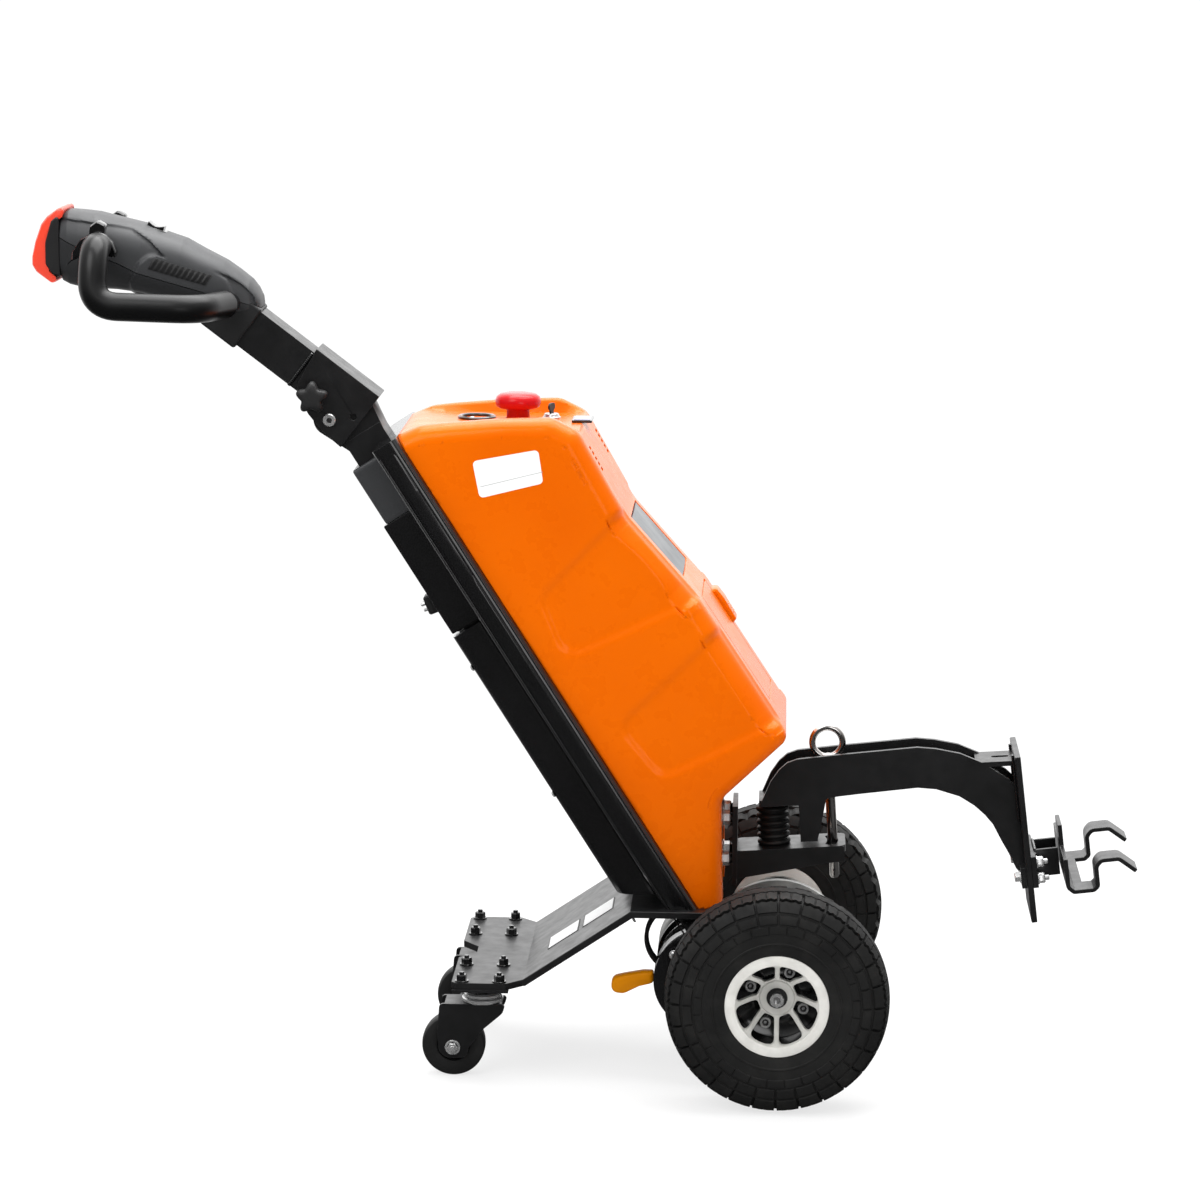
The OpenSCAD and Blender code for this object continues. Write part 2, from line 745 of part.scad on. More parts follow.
module fork_hook() {
    tab_w = 54;
    shoulder_z = -121;
    notch_x = 64;
    hook_gap = hook_w - 2 * prong_w;
    color("#2a2a2b") plate_frame() difference() {
        across(hook_w) strip(HOOK, hook_t);
        for (side = [-1, 1]) translate([flange_x, side * (hook_w + tab_w) / 4, shoulder_z + 25])
            cube([20, (hook_w - tab_w) / 2 + 0.01, 50], center = true);
        span([notch_x, -hook_gap / 2, -200], [flange_x + 120, hook_gap / 2, -100]);
    }
}

module hitch_pin() {
    ring_r = 18;
    wire = 8;
    ring_z = 120;
    color("#c4c6c8") hitch_frame() translate([hitch_pin_ahead, 0, 0]) {
        translate([0, 0, -46]) cylinder(d = hitch_pin_d, h = 46 + ring_z - ring_r + 1);
        translate([0, 0, -52]) cylinder(d1 = 8, d2 = hitch_pin_d, h = 6);
        translate([0, 0, ring_z]) rotate([90, 0, 0]) rotate_extrude()
            translate([ring_r, 0]) circle(d = wire);
        translate([0, 0, guide_lz + 8.3]) cylinder(d = hitch_pin_d + 6, h = 4);
    }
}

// ---- Tiller ----

module tiller_tube() {
    color("#1b1b1c") tiller_frame() difference() {
        span([-196, -tiller_w / 2, tube_lo], [tiller_end, tiller_w / 2, tube_hi]);
        span([-200, -tiller_w / 2 + tube_wall, tube_lo + tube_wall],
             [tiller_end - 6, tiller_w / 2 - tube_wall, tube_hi - tube_wall]);
    }
}

module fold_bracket() {
    color("#1c1c1d") tiller_frame() difference() {
        union() {
            for (side = [-1, 1]) translate([0, side * (bracket_w - bracket_t) / 2, 0])
                across(bracket_t) polygon([
                    [-62, tube_hi + bracket_t - 1], [30, tube_hi + bracket_t - 1], [30, -18],
                    [12, -17], [-8, -14], [-24, -10], [-42, -2], [-52, 6], [-56, 12]
                ]);
            span([-62, -bracket_w / 2, tube_hi + 0.2],
                 [30, bracket_w / 2, tube_hi + 0.2 + bracket_t]);
        }
        rod_y(fold_bolt_d - 1.8, bracket_w + 2);
        translate([20, 0, 20]) rod_y(8, bracket_w + 2);
    }
}

module fold_bolt() {
    color("#c0c2c4") fold_frame() {
        rod_y(fold_bolt_d, ear_w + 1);
        rod_y(fold_bolt_d - 2, bracket_w + 1);
        for (side = [-1, 1]) translate([0, side * (bracket_w / 2 + 2), 0]) rod_y(15, 4);
    }
}

module star_knob() {
    lobes = 5;
    color("#1a1a1b") fold_frame() translate([-19, -bracket_w / 2, 28]) rotate([90, 0, 0]) {
        cylinder(d = 14, h = 8);
        translate([0, 0, 7]) linear_extrude(height = 18) {
            circle(d = 32);
            for (i = [0 : lobes - 1]) rotate(i * 360 / lobes + 18) translate([15, 0]) circle(d = 14);
        }
    }
}

// Sections of the head along X from the fold bolt: [x, low z, high z, half width]
HEAD = [
    [-318, 160, 238, 44], [-292, 152, 240, 54], [-250, 148, 232, 58], [-200, 138, 216, 54],
    [-150, 124, 196, 44], [-112, 112, 172, 36], [-88, 116, 140, 30]
];

module head_solid() {
    for (i = [0 : len(HEAD) - 2]) hull() for (k = [i, i + 1])
        translate([HEAD[k][0], 0, (HEAD[k][1] + HEAD[k][2]) / 2])
            rotate([0, 90, 0]) linear_extrude(height = 0.5)
                rounded(12) square([HEAD[k][2] - HEAD[k][1], 2 * HEAD[k][3]], center = true);
}

// Everything above the head's split line
module above_split() {
    across(200) polygon([[-400, 246], [-225, 173], [-60, 124], [-60, 300], [-400, 300]]);
}

// The socket in the head that takes the tiller tube and its collar
module head_socket() {
    rotate([0, tiller_angle, 0]) {
        span([-206, -tiller_w / 2 - 0.2, tube_lo - 20], [-20, tiller_w / 2 + 0.2, tube_hi + 0.2]);
        span([-190.2, -collar_y - 0.2, tube_lo - 20], [-120, collar_y + 0.2, tube_hi + 3.2]);
    }
}

module head_upper_shell() {
    color("#56575a") fold_frame() difference() {
        intersection() {
            head_solid();
            above_split();
        }
        head_socket();
        switch_well(0.2);
        grip_seats(0.3);
    }
}

module head_lower_shell() {
    color("#48494c") fold_frame() difference() {
        head_solid();
        translate([0, 0, -0.3]) above_split();
        head_socket();
        grip_seats(0.3);
    }
}

module head_bumper() {
    color("#f4492e") fold_frame() across(72) rounded(6) polygon([
        [HEAD[0].x - 0.3, 238], [-329, 240], [-345, 220], [-356, 185], [-355, 171], [-333, 153],
        [HEAD[0].x - 0.3, 162]
    ]);
}

module tiller_collar() {
    color("#18181a") tiller_frame() difference() {
        span([-190, -collar_y, tube_lo - 5], [-140, collar_y, tube_hi + 3]);
        span([-200, -tiller_w / 2, tube_lo], [-100, tiller_w / 2, tube_hi]);
    }
}

// Middle line of a grip: out of the throttle, down, forward and in beside the collar
function grip_path(side) = [
    [-262, side * 84, 207], [-262, side * 118, 202], [-262, side * 134, 142],
    [-142, side * 124, 138], [-115, side * (collar_y + 5.5), 137]
];

// Spaces in the head for the grips' stubs and ends, grown by a clearance
module grip_seats(gap) {
    for (side = [LEFT, RIGHT]) {
        translate([-262, side * 66, 207]) rod_y(stub_d + 2 * gap, 44);
        sweep([grip_path(side)[3], grip_path(side)[4] + [0, -side * 4, 0]], grip_d + 2 * gap, 24);
    }
}

module grip(side) {
    color("#3a3b3d") fold_frame() {
        sweep(rounded_path(grip_path(side), 26, 6), grip_d, 16);
        translate([-262, side * 67, 207]) rod_y(stub_d, 40);
    }
}

module throttle(side) {
    color("#151516") fold_frame() translate([-262, side * 71, 207]) difference() {
        union() {
            rod_y(38, 20);
            across(14) hull() {
                circle(r = 16);
                translate([-24, -22]) circle(r = 5);
            }
            across(14) hull() {
                circle(r = 16);
                translate([22, -20]) circle(r = 6);
            }
        }
        rod_y(stub_d + 2 * run_gap, 40);
    }
}

// The block of the rocker switch, grown by a clearance
module switch_well(gap) {
    translate([-208, 0, 216]) rotate([0, 18, 0])
        cube([24 + 2 * gap, 22 + 2 * gap, 14 + 2 * gap], center = true);
}

module rocker_switch() {
    color("#1a1a1b") fold_frame() switch_well(0);
}

base_plate();
caster_plates();
mast();
mast_sleeve();
mast_cover();
back_cover();
rear_tray();
hood();
hood_window();
hood_latch();
battery();
front_upright();
drawbar();
kingpin();
transaxle_housing();
axle_tubes();
motor();
brake_unit();
brake_release_lever();
motor_cables();
emergency_stop();
key_switch();
battery_display();
charge_socket();
charger_plug();
caster_fork(LEFT);  // left_caster_fork
caster_fork(RIGHT);  // right_caster_fork
caster_wheel(LEFT);  // left_caster_wheel
caster_wheel(RIGHT);  // right_caster_wheel
tyre(LEFT);  // left_tyre
tyre(RIGHT);  // right_tyre
rim(LEFT);  // left_rim
rim(RIGHT);  // right_rim
half_shaft(LEFT);  // left_half_shaft
half_shaft(RIGHT);  // right_half_shaft
tiller_tube();
fold_bracket();
fold_bolt();
star_knob();
tiller_collar();
head_upper_shell();
head_lower_shell();
head_bumper();
grip(LEFT);  // left_grip
grip(RIGHT);  // right_grip
throttle(LEFT);  // left_throttle
throttle(RIGHT);  // right_throttle
rocker_switch();
tow_arm();
swivel_barrel();
hitch_plate();
hook_bracket();
fork_hook();
hitch_pin();
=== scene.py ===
"""Electric tugger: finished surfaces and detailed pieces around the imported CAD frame.

Points are in millimetres in a few local frames, each placed from the record's joints.
"""
import functools
import json
import math

import bmesh
import bpy
import numpy as np
from mathutils import Matrix, Vector


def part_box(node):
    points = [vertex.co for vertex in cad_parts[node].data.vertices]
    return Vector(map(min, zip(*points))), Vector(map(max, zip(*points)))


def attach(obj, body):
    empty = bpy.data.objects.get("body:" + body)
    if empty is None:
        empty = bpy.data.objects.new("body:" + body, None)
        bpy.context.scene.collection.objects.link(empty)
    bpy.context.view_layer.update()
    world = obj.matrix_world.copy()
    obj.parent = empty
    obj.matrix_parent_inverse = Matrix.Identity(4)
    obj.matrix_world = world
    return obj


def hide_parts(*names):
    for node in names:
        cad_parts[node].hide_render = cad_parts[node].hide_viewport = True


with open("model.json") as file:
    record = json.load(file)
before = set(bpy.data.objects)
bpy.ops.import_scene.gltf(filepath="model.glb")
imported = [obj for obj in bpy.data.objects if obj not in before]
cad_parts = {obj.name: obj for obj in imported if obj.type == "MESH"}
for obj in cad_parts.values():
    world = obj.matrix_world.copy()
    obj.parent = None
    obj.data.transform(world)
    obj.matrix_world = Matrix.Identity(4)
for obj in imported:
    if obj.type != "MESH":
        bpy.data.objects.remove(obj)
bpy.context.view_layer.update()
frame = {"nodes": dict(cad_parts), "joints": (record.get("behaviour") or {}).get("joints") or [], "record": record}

MM = 0.001
SIDES = {"left": 1, "right": -1}
NODES = frame["nodes"]
JOINTS = {j["name"]: j for j in frame["joints"]}
MOUNTS = {m["name"]: m for m in frame["record"]["mounts"]}


# ---- Local frames, each a matrix from millimetres to the row's metres ----

def spin(degrees, axis="Y"):
    return Matrix.Rotation(math.radians(degrees), 4, axis)


def shift(x, y, z):
    return Matrix.Translation((x, y, z))


def place(origin, degrees=0.0):
    return Matrix.Translation(origin) @ spin(degrees) @ Matrix.Scale(MM, 4)


def slope(x, z):
    return math.degrees(math.atan2(z, x))


def on_axis(x, y, z, side):
    """A local frame at a point whose Z runs along Y, outwards on the given side."""
    return shift(x, y, z) @ spin(-90 * side, "X")


def toward(x, y, z, direction, turn=0.0):
    """A local frame at a point whose Z runs along a direction."""
    aim = Vector(direction).to_track_quat("Z", "Y").to_matrix().to_4x4()
    return shift(x, y, z) @ aim @ spin(turn, "Z")


def along_x(x, y, z, side, turn=0.0):
    """The same for faces that look forwards (side 1) or backwards (side -1)."""
    return toward(x, y, z, (side, 0, 0), turn)


axle_x, axle_y, axle_z = JOINTS["left_wheel_spin"]["pos_m"]
fold_at = JOINTS["tiller_fold"]["pos_m"]
swing_at, swing_axis = JOINTS["arm_swing"]["pos_m"], JOINTS["arm_swing"]["axis"]
cover_axis = MOUNTS["charger_plug"]["axis"]
plate_axis = MOUNTS["hitch_plate_holes"]["axis"]
mast_lean = slope(-cover_axis[0], cover_axis[2]) - 90
hitch_pitch = slope(swing_axis[2], -swing_axis[0])
TILLER_SLOPE = 37.0
PLATE_AT = (289, 0, 102)  # from the swing joint to the hitch plate, in the HITCH frame
MOTOR_AT = (-88, 0, 128)  # the middle of the motor's axis, in the FLOOR frame
RAMP_FOOT, RAMP_HEAD = (-299, 123), (-173, 208)  # ends of the ramp's upper face, X and Z
HALF_TRACK = axle_y / MM
AXLE_Z = axle_z / MM
DECK_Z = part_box("base_plate")[1].z / MM
DISH_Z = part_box("emergency_stop")[0].z / MM

FLOOR = place((axle_x, 0, 0))
MAST = place((axle_x, 0, 0), mast_lean)
FOLD = place(fold_at)
TILLER = place(fold_at, TILLER_SLOPE)
HITCH = place(swing_at, -hitch_pitch)
PLATE = HITCH @ shift(*PLATE_AT) @ spin(hitch_pitch - slope(plate_axis[0], plate_axis[2]))


# ---- Materials ----

WHITE = (1, 1, 1, 1)
SEEN = ("Is Camera Ray", "Is Transmission Ray")
M = {}


def rgb(code):
    """A colour written as it looks on screen, in the linear values that shaders take."""
    parts = [int(code[i:i + 2], 16) / 255 for i in (0, 2, 4)]
    return [p / 12.92 if p <= 0.04045 else ((p + 0.055) / 1.055) ** 2.4 for p in parts] + [1.0]


class Graph:
    """Adds nodes to a tree. A socket takes a plain value or another node's output."""

    def __init__(self, tree):
        self.tree = tree

    def set(self, node, sockets):
        for key, value in sockets.items():
            if isinstance(value, bpy.types.NodeSocket):
                self.tree.links.new(value, node.inputs[key])
            else:
                node.inputs[key].default_value = value

    def add(self, kind, sockets, out=0, **settings):
        made = self.tree.nodes.new("ShaderNode" + kind)
        for key, value in settings.items():
            setattr(made, key, value)
        self.set(made, sockets)
        return made.outputs[out]

    def math(self, operation, a, b):
        return self.add("Math", {0: a, 1: b}, operation=operation)

    def range(self, source, to, span=(0.3, 0.7)):
        names = ("Value", "From Min", "From Max", "To Min", "To Max")
        return self.add("MapRange", dict(zip(names, (source, *span, *to))))

    def rays(self, *names):
        """1 for the named kinds of ray, 0 for the rest."""
        paths = [self.add("LightPath", {}, name) for name in names]
        return functools.reduce(lambda a, b: self.math("MAXIMUM", a, b), paths)


class Finish(Graph):
    """A procedural material. Noise scales are in features per metre."""

    def __init__(self, name, **sockets):
        self.material = bpy.data.materials.new(name)
        self.material.use_nodes = True
        super().__init__(self.material.node_tree)
        self.shader = self.tree.nodes["Principled BSDF"]
        self.set(self.shader, {k.replace("_", " "): v for k, v in sockets.items()})
        self.place = self.add("TexCoord", {}, "Object")

    def noise(self, scale, detail=4.0):
        return self.add("TexNoise", {"Vector": self.place, "Scale": scale, "Detail": detail,
                                     "Roughness": 0.55})

    def mix(self, factor, under, over):
        return self.add("Mix", {0: factor, 6: under, 7: rgb(over)}, 2, data_type="RGBA")

    def edge_wear_and_highlight(self, under):
        """Lighter along edges, in patches: a painted highlight where light catches the edges, together with bare
        metal where the paint is worn through.
        """
        soft = self.add("Bevel", {"Radius": 0.0008}, samples=4)
        flat = self.add("NewGeometry", {}, "Normal")
        dot = self.add("VectorMath", {0: soft, 1: flat}, "Value", operation="DOT_PRODUCT")
        edge = self.range(dot, (0.35, 0.0), (0.82, 0.995))
        patches = self.range(self.noise(220), (0.25, 1.0), (0.35, 0.6))
        # The light grey mixed in along the edges is a painted edge highlight as well as worn bare metal.
        return self.mix(self.math("MULTIPLY", edge, patches), under, "5a5b5d")

    def dusty(self, under):
        return self.mix(self.range(self.noise(35), (0.0, 0.35), (0.5, 0.75)), under, "272624")

    def scuffed(self, under):
        return self.mix(self.range(self.noise(260, 6.0), (0.0, 0.12), (0.62, 0.8)), under, "ea7f00")


# what lies over the colour, noise of its patches, scale of gloss changes, detail and depth of grain
KINDS = {"paint": (Finish.edge_wear_and_highlight, (9.0,), 60.0, 2.0, 0.00012),
         "plastic": (None, (5.0,), 25.0, 3.0, 0.0001),
         "rubber": (Finish.dusty, (14.0,), 90.0, 4.0, 0.0002),
         "metal": (None, (30.0,), 140.0, 3.0, 0.00006),
         "orange": (Finish.scuffed, (4.0, 2.0), 40.0, 2.0, 0.0001)}


def finish(name, kind, dark, light, rough, grain, strength, **sockets):
    """Colour between dark and light, roughness between two values, and fine grain in relief."""
    over, patches, gloss, detail, depth = KINDS[kind]
    f = Finish(name, **sockets)
    base = f.add("ValToRGB", {"Fac": f.noise(*patches)})
    for element, where, colour in zip(base.node.color_ramp.elements, (0.35, 0.65), (dark, light)):
        element.position, element.color = where, rgb(colour)
    bump = f.add("Bump", {"Strength": strength, "Distance": depth,
                          "Height": f.noise(grain, detail)})
    f.set(f.shader, {"Base Color": over(f, base) if over else base,
                     "Roughness": f.range(f.noise(gloss), rough), "Normal": bump})
    M[name] = f.material


finish("orange", "orange", "d75900", "df6200", (0.24, 0.34), 420, 0.06, Coat_Weight=0.12,
       Coat_Roughness=0.1, Specular_IOR_Level=0.3, Specular_Tint=(1, 0.5, 0.04, 1))
finish("window", "plastic", "4a4c4f", "616467", (0.3, 0.4), 300, 0.03, Specular_IOR_Level=0.3)
finish("gloss_black", "plastic", "070708", "0d0d0e", (0.16, 0.26), 500, 0.05, Coat_Weight=0.5,
       Coat_Roughness=0.08)
finish("matt_black", "plastic", "101011", "181819", (0.45, 0.6), 1400, 0.2)
finish("powder", "paint", "0c0c0d", "131314", (0.3, 0.42), 1900, 0.25)
finish("ramp", "paint", "0f0f10", "161617", (0.3, 0.42), 1500, 0.25)
finish("sleeve", "plastic", "2a2b2c", "333436", (0.32, 0.42), 900, 0.08)
for key, dark, light, rough in (("tyre", "0f0f0f", "171716", (0.62, 0.8)),
                                ("caster", "141414", "1c1c1c", (0.5, 0.65)),
                                ("cable", "0d0d0d", "151515", (0.4, 0.5)),
                                ("bellows", "0e0e0e", "171717", (0.45, 0.6))):
    finish(key, "rubber", dark, light, rough, 1600, 0.25, Specular_IOR_Level=0.3)
finish("grip", "plastic", "060607", "0a0a0b", (0.3, 0.4), 2600, 0.1, Specular_IOR_Level=0.3)
finish("rim", "metal", "c4c3be", "dbdad5", (0.3, 0.42), 2200, 0.35, Metallic=0.1)
finish("cast", "metal", "a5a6a5", "c8c8c5", (0.34, 0.5), 1300, 0.4, Metallic=0.55)
finish("bright", "metal", "b3b3b3", "d2d2d2", (0.16, 0.28), 700, 0.08, Metallic=0.7)
finish("chrome", "metal", "b0aba8", "d8d5d3", (0.08, 0.16), 400, 0.04, Metallic=1.0)
finish("lever", "plastic", "b06a00", "c07600", (0.4, 0.5), 700, 0.1, Specular_IOR_Level=0.06)
finish("red", "plastic", "ac0c14", "c0161c", (0.14, 0.22), 300, 0.04, Coat_Weight=0.1,
       Coat_Roughness=0.06, Specular_IOR_Level=0.15)
finish("bumper", "plastic", "dc3519", "e84125", (0.3, 0.4), 700, 0.08)
finish("head_upper", "plastic", "2c2d2f", "363739", (0.46, 0.56), 2400, 0.3)
finish("head_lower", "plastic", "1c1d1f", "242527", (0.48, 0.58), 2400, 0.3)
finish("label", "plastic", "e4e4e4", "efefef", (0.4, 0.5), 900, 0.05)
finish("divider", "plastic", "9a9a9a", "b0b0b0", (0.4, 0.5), 700, 0.05)
finish("display", "plastic", "1b2030", "4a2f8a", (0.08, 0.14), 200, 0.02, Coat_Weight=0.8)


# ---- Building pieces ----

def stand(name, data):
    """Links a new object to the scene."""
    obj = bpy.data.objects.new(name, data)
    bpy.context.scene.collection.objects.link(obj)
    return obj


def belong(obj, body, stands_for):
    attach(obj, body)
    if stands_for:
        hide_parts(stands_for)


def circle(steps):
    """Cosine and sine of even steps round a turn."""
    return [(math.cos(a), math.sin(a)) for a in (2 * math.pi * k / steps for k in range(steps))]


def mirrored(half):
    """A profile of (radius, height) with its own mirror image above it."""
    return half + [(r, -h) for r, h in half[::-1]]


def polar(r, degrees):
    return r * math.cos(math.radians(degrees)), r * math.sin(math.radians(degrees))


class Part:
    """Gathers faces, in millimetres in a local frame, and turns them into one piece."""

    def __init__(self, frame_matrix):
        self.bm = bmesh.new()
        self.matrix = frame_matrix

    def add(self, points, faces, at=None, paint=0):
        at = at or Matrix.Identity(4)
        verts = [self.bm.verts.new(at @ Vector(p)) for p in points]
        for face in faces:
            if len(set(face)) > 2:
                made = self.bm.faces.new([verts[i] for i in dict.fromkeys(face)])
                made.material_index = paint

    def grid(self, rows, at=None, paint=0, wrap=False, close=False, ends=False):
        """Joins rows of points. wrap joins each row's ends, close the last row to the first."""
        count, width = len(rows), len(rows[0])
        faces = []
        for i in range(count if close else count - 1):
            a, b = i * width, (i + 1) % count * width
            for k in range(width if wrap else width - 1):
                n = (k + 1) % width
                faces.append((a + k, a + n, b + n, b + k))
        if ends:
            faces += [range(width)[::-1], range((count - 1) * width, count * width)]
        self.add([p for row in rows for p in row], faces, at, paint)

    def tower(self, rows, at=None, paint=0):
        """Stacked closed outlines with both ends filled."""
        self.grid(rows, at, paint, wrap=True, ends=True)

    def box(self, low, high, at=None, paint=0):
        (a, b, c), (d, e, f) = low, high
        self.tower([[(a, b, z), (d, b, z), (d, e, z), (a, e, z)] for z in (c, f)], at, paint)

    def prism(self, outline, low, high, at=None, paint=0):
        """An outline in X and Z, given a width from low to high along Y."""
        self.tower([[(x, y, z) for x, z in outline] for y in (low, high)], at, paint)

    def cushion(self, outline, low, high, faces, centre=(0, 0)):
        """A prism that draws in towards both faces: (depth, share of length[, of height])."""
        cx, cz = centre
        step = math.copysign(1, high - low)
        stations = [(low + step * depth, share) for depth, *share in faces]
        stations += [(high - step * depth, share) for depth, *share in faces[::-1]]
        self.tower([[(cx + (x - cx) * share[0], y, cz + (z - cz) * share[-1]) for x, z in outline]
                    for y, share in stations])

    def lathe(self, profile, steps=48, at=None, paint=0, ring=True):
        """Turns a profile of (radius, height) about Z, closed on itself or with ends filled."""
        self.grid([[(r * c, r * s, h) for c, s in circle(steps)] for r, h in profile], at, paint,
                  wrap=True, close=ring, ends=not ring)

    def slab(self, back, face):
        """Two grids of the same size, joined round their edges."""
        for rows in (back, face):
            self.grid(rows)
        for end in (0, -1):
            self.grid([back[end], face[end]])
            self.grid([[row[end] for row in rows] for rows in (back, face)])

    def stud(self, at, r, low, high, steps=18, paint=0):
        """The chamfered end of a bolt's thread, standing out of its nut."""
        self.solid([(r, low), (r, high), (r - 0.6, high + 0.6)], steps, at, paint)

    def solid(self, profile, steps=48, at=None, paint=0):
        """As lathe, for a profile that stands on the axis."""
        foot, head = ((0.1, profile[i][1]) for i in (0, -1))
        self.lathe([foot, *profile, head], steps, at, paint)

    def tube(self, path, radius, sides=16, at=None, paint=0):
        """A round bar along a path. radius is a number or one for each point."""
        path = [Vector(p) for p in path]
        radii = radius if hasattr(radius, "__len__") else [radius] * len(path)
        rows, side = [], None
        for i, (p, r) in enumerate(zip(path, radii)):
            ahead = (path[min(i + 1, len(path) - 1)] - path[max(i - 1, 0)]).normalized()
            side = side or ahead.orthogonal().normalized()
            side = (side - ahead * side.dot(ahead)).normalized()
            rows.append([p + r * (c * side + s * ahead.cross(side)) for c, s in circle(sides)])
        self.tower(rows, at, paint)

    def bolt(self, at, across, high, washer, paint=0, under=0):
        """A hexagon head with a chamfered top on a washer, standing on a surface along Z."""
        self.lathe([(washer - 0.3, 0), (washer, 0.3), (washer, 1.3), (washer - 0.3, 1.6)], 24, at,
                   under, ring=False)
        r = across / math.sqrt(3)
        self.tower([[(r * c * k, r * s * k, 1.6 + high * h) for c, s in circle(6)]
                    for k, h in ((1, 0), (1, 0.82), (0.86, 1))], at, paint)

    def weld_bead(self, start, end, radius):
        """A rippled bead laid along a line."""
        start, end = Vector(start), Vector(end)
        count = max(2, int((end - start).length / 0.8))
        radii = [radius * (0.82 + 0.18 * abs(math.sin(i * 1.05))) for i in range(count + 1)]
        radii[0] = radii[-1] = radius * 0.5
        self.tube([start.lerp(end, k / count) for k in range(count + 1)], radii, 8)

    def done(self, name, paints, body, stands_for=None, bevel=0.0, segments=2,
             sharp=30.0, weld=0.002):
        """Makes the piece: welded, shaded smooth up to the sharp angle, bevelled by a modifier."""
        bm = self.bm
        bmesh.ops.remove_doubles(bm, verts=bm.verts, dist=weld)
        bmesh.ops.dissolve_degenerate(bm, edges=bm.edges, dist=weld)
        bmesh.ops.recalc_face_normals(bm, faces=bm.faces)
        bm.transform(self.matrix)
        for edge in bm.edges:
            edge.smooth = edge.calc_face_angle(0.0) < math.radians(sharp)
        for face in bm.faces:
            face.smooth = True
        mesh = bpy.data.meshes.new(name)
        bm.to_mesh(mesh)
        bm.free()
        obj = stand(name, mesh)
        for paint in paints.split():
            mesh.materials.append(M[paint])
        if bevel:
            round_edges(obj, bevel * MM, segments)
        belong(obj, body, stands_for)
        return obj


def round_edges(obj, width, segments=2):
    made = obj.modifiers.new("rounded_edges", "BEVEL")
    made.width = width
    made.segments = segments
    made.limit_method = "ANGLE"
    made.angle_limit = math.radians(32)
    made.harden_normals = True


def thicken(obj, thickness, offset):
    wall = obj.modifiers.new("wall", "SOLIDIFY")
    wall.thickness = thickness
    wall.offset = offset


def dress(nodes, paint, bevel):
    """Gives CAD nodes their material and rounds their edges."""
    for name in nodes.split():
        obj = NODES[name]
        obj.data.materials.clear()
        obj.data.materials.append(M[paint])
        obj.modifiers.new("weld", "WELD").merge_threshold = 0.00001
        round_edges(obj, bevel * MM)


def bend(points, closed=False, step=9.0):
    """A polyline whose corners are arcs. Points are (x, z, corner radius)."""
    out = []
    for i, (x, z, radius) in enumerate(points):
        here = Vector((x, z))
        if radius <= 0 or (not closed and i in (0, len(points) - 1)):
            out.append(here)
            continue
        before = Vector(points[i - 1][:2]) - here
        after = Vector(points[(i + 1) % len(points)][:2]) - here
        half = before.angle(after) / 2
        reach = min(radius / math.tan(half), 0.49 * before.length, 0.49 * after.length)
        before, after = before.normalized(), after.normalized()
        centre = here + (before + after).normalized() * (reach * math.tan(half) / math.sin(half))
        a, b = here + before * reach - centre, here + after * reach - centre
        turn = math.pi - 2 * half
        steps = max(2, int(math.degrees(turn) / step))
        for t in (k / steps for k in range(steps + 1)):
            spoke = a * math.sin((1 - t) * turn) + b * math.sin(t * turn)
            out.append(centre + spoke / math.sin(turn))
    return out


def loop(points, step=9.0):
    """A closed outline with rounded corners."""
    return bend(points, True, step)


def bend_3d(points, reach, steps=8):
    """A polyline in space whose corners are cut by smooth curves starting at a given reach."""
    points = [Vector(p) for p in points]
    out = [points[0]]
    for before, here, after in zip(points, points[1:], points[2:]):
        a, b = (here + (p - here).normalized() * min(reach, (p - here).length * 0.49)
                for p in (before, after))
        out += [(1 - t) ** 2 * a + 2 * t * (1 - t) * here + t * t * b
                for t in (k / steps for k in range(steps + 1))]
    return out + [points[-1]]


def even(path, spacing, closed=False):
    """The same line with points about a given distance apart, its own points kept."""
    out = []
    for a, b in zip(path, path[1:] + path[:1] * closed):
        count = max(1, round((b - a).length / spacing))
        out += [a.lerp(b, k / count) for k in range(count)]
    return out if closed else out + [path[-1]]


def inward(path):
    """Unit normals to the left of a path."""
    ahead = [b - a for a, b in zip(path[:1] + path, path[1:] + path[-1:])]
    return [Vector((-d.y, d.x)).normalized() for d in ahead]


# ---- Camera, light and floor ----

def camera():
    """The photo's own camera, as fitted to the tyres: metres, millimetres of lens, degrees."""
    data = bpy.data.cameras.new("camera")
    data.sensor_width = 36.0
    data.lens = 121.16
    data.clip_end = 200.0
    obj = stand("camera", data)
    yaw, pitch, roll = 2.565, 10.276, 0.457
    turn = spin(yaw, "Z") @ spin(90 - pitch, "X") @ spin(roll, "Z")
    obj.matrix_world = shift(axle_x - 0.0061, -4.7202, 1.4109) @ turn
    bpy.context.scene.camera = obj


def surroundings():
    """White where it is seen, and a studio that is bright overhead and dark in front."""
    world = bpy.data.worlds.new("studio")
    bpy.context.scene.world = world
    world.use_nodes = True
    g = Graph(world.node_tree)
    light = g.tree.nodes["Background"]
    where = g.add("SeparateXYZ", {0: g.add("TexCoord", {}, "Generated")}).node.outputs
    total = g.range(where["Z"], (0.1, 1.0), (0.05, 0.85))
    for axis, span, amount in (("Y", (0.15, 0.8), 1.5), ("X", (-0.2, -0.9), 0.25)):
        total = g.math("ADD", total, g.range(where[axis], (0.0, amount), span))
    g.set(light, {"Color": WHITE, "Strength": total})
    white = g.add("Background", {"Color": WHITE, "Strength": 1.05})
    mix = g.add("MixShader", {0: g.rays(*SEEN), 1: light.outputs[0], 2: white})
    g.set(g.tree.nodes["World Output"], {"Surface": mix})


def lamp(name, where, target, size, watts):
    data = bpy.data.lights.new(name, "AREA")
    data.shape = "RECTANGLE"
    data.size = data.size_y = size
    data.energy = watts
    obj = stand(name, data)
    obj.location = where
    obj.rotation_mode = "QUATERNION"
    obj.rotation_quaternion = (Vector(target) - Vector(where)).to_track_quat("-Z", "Y")


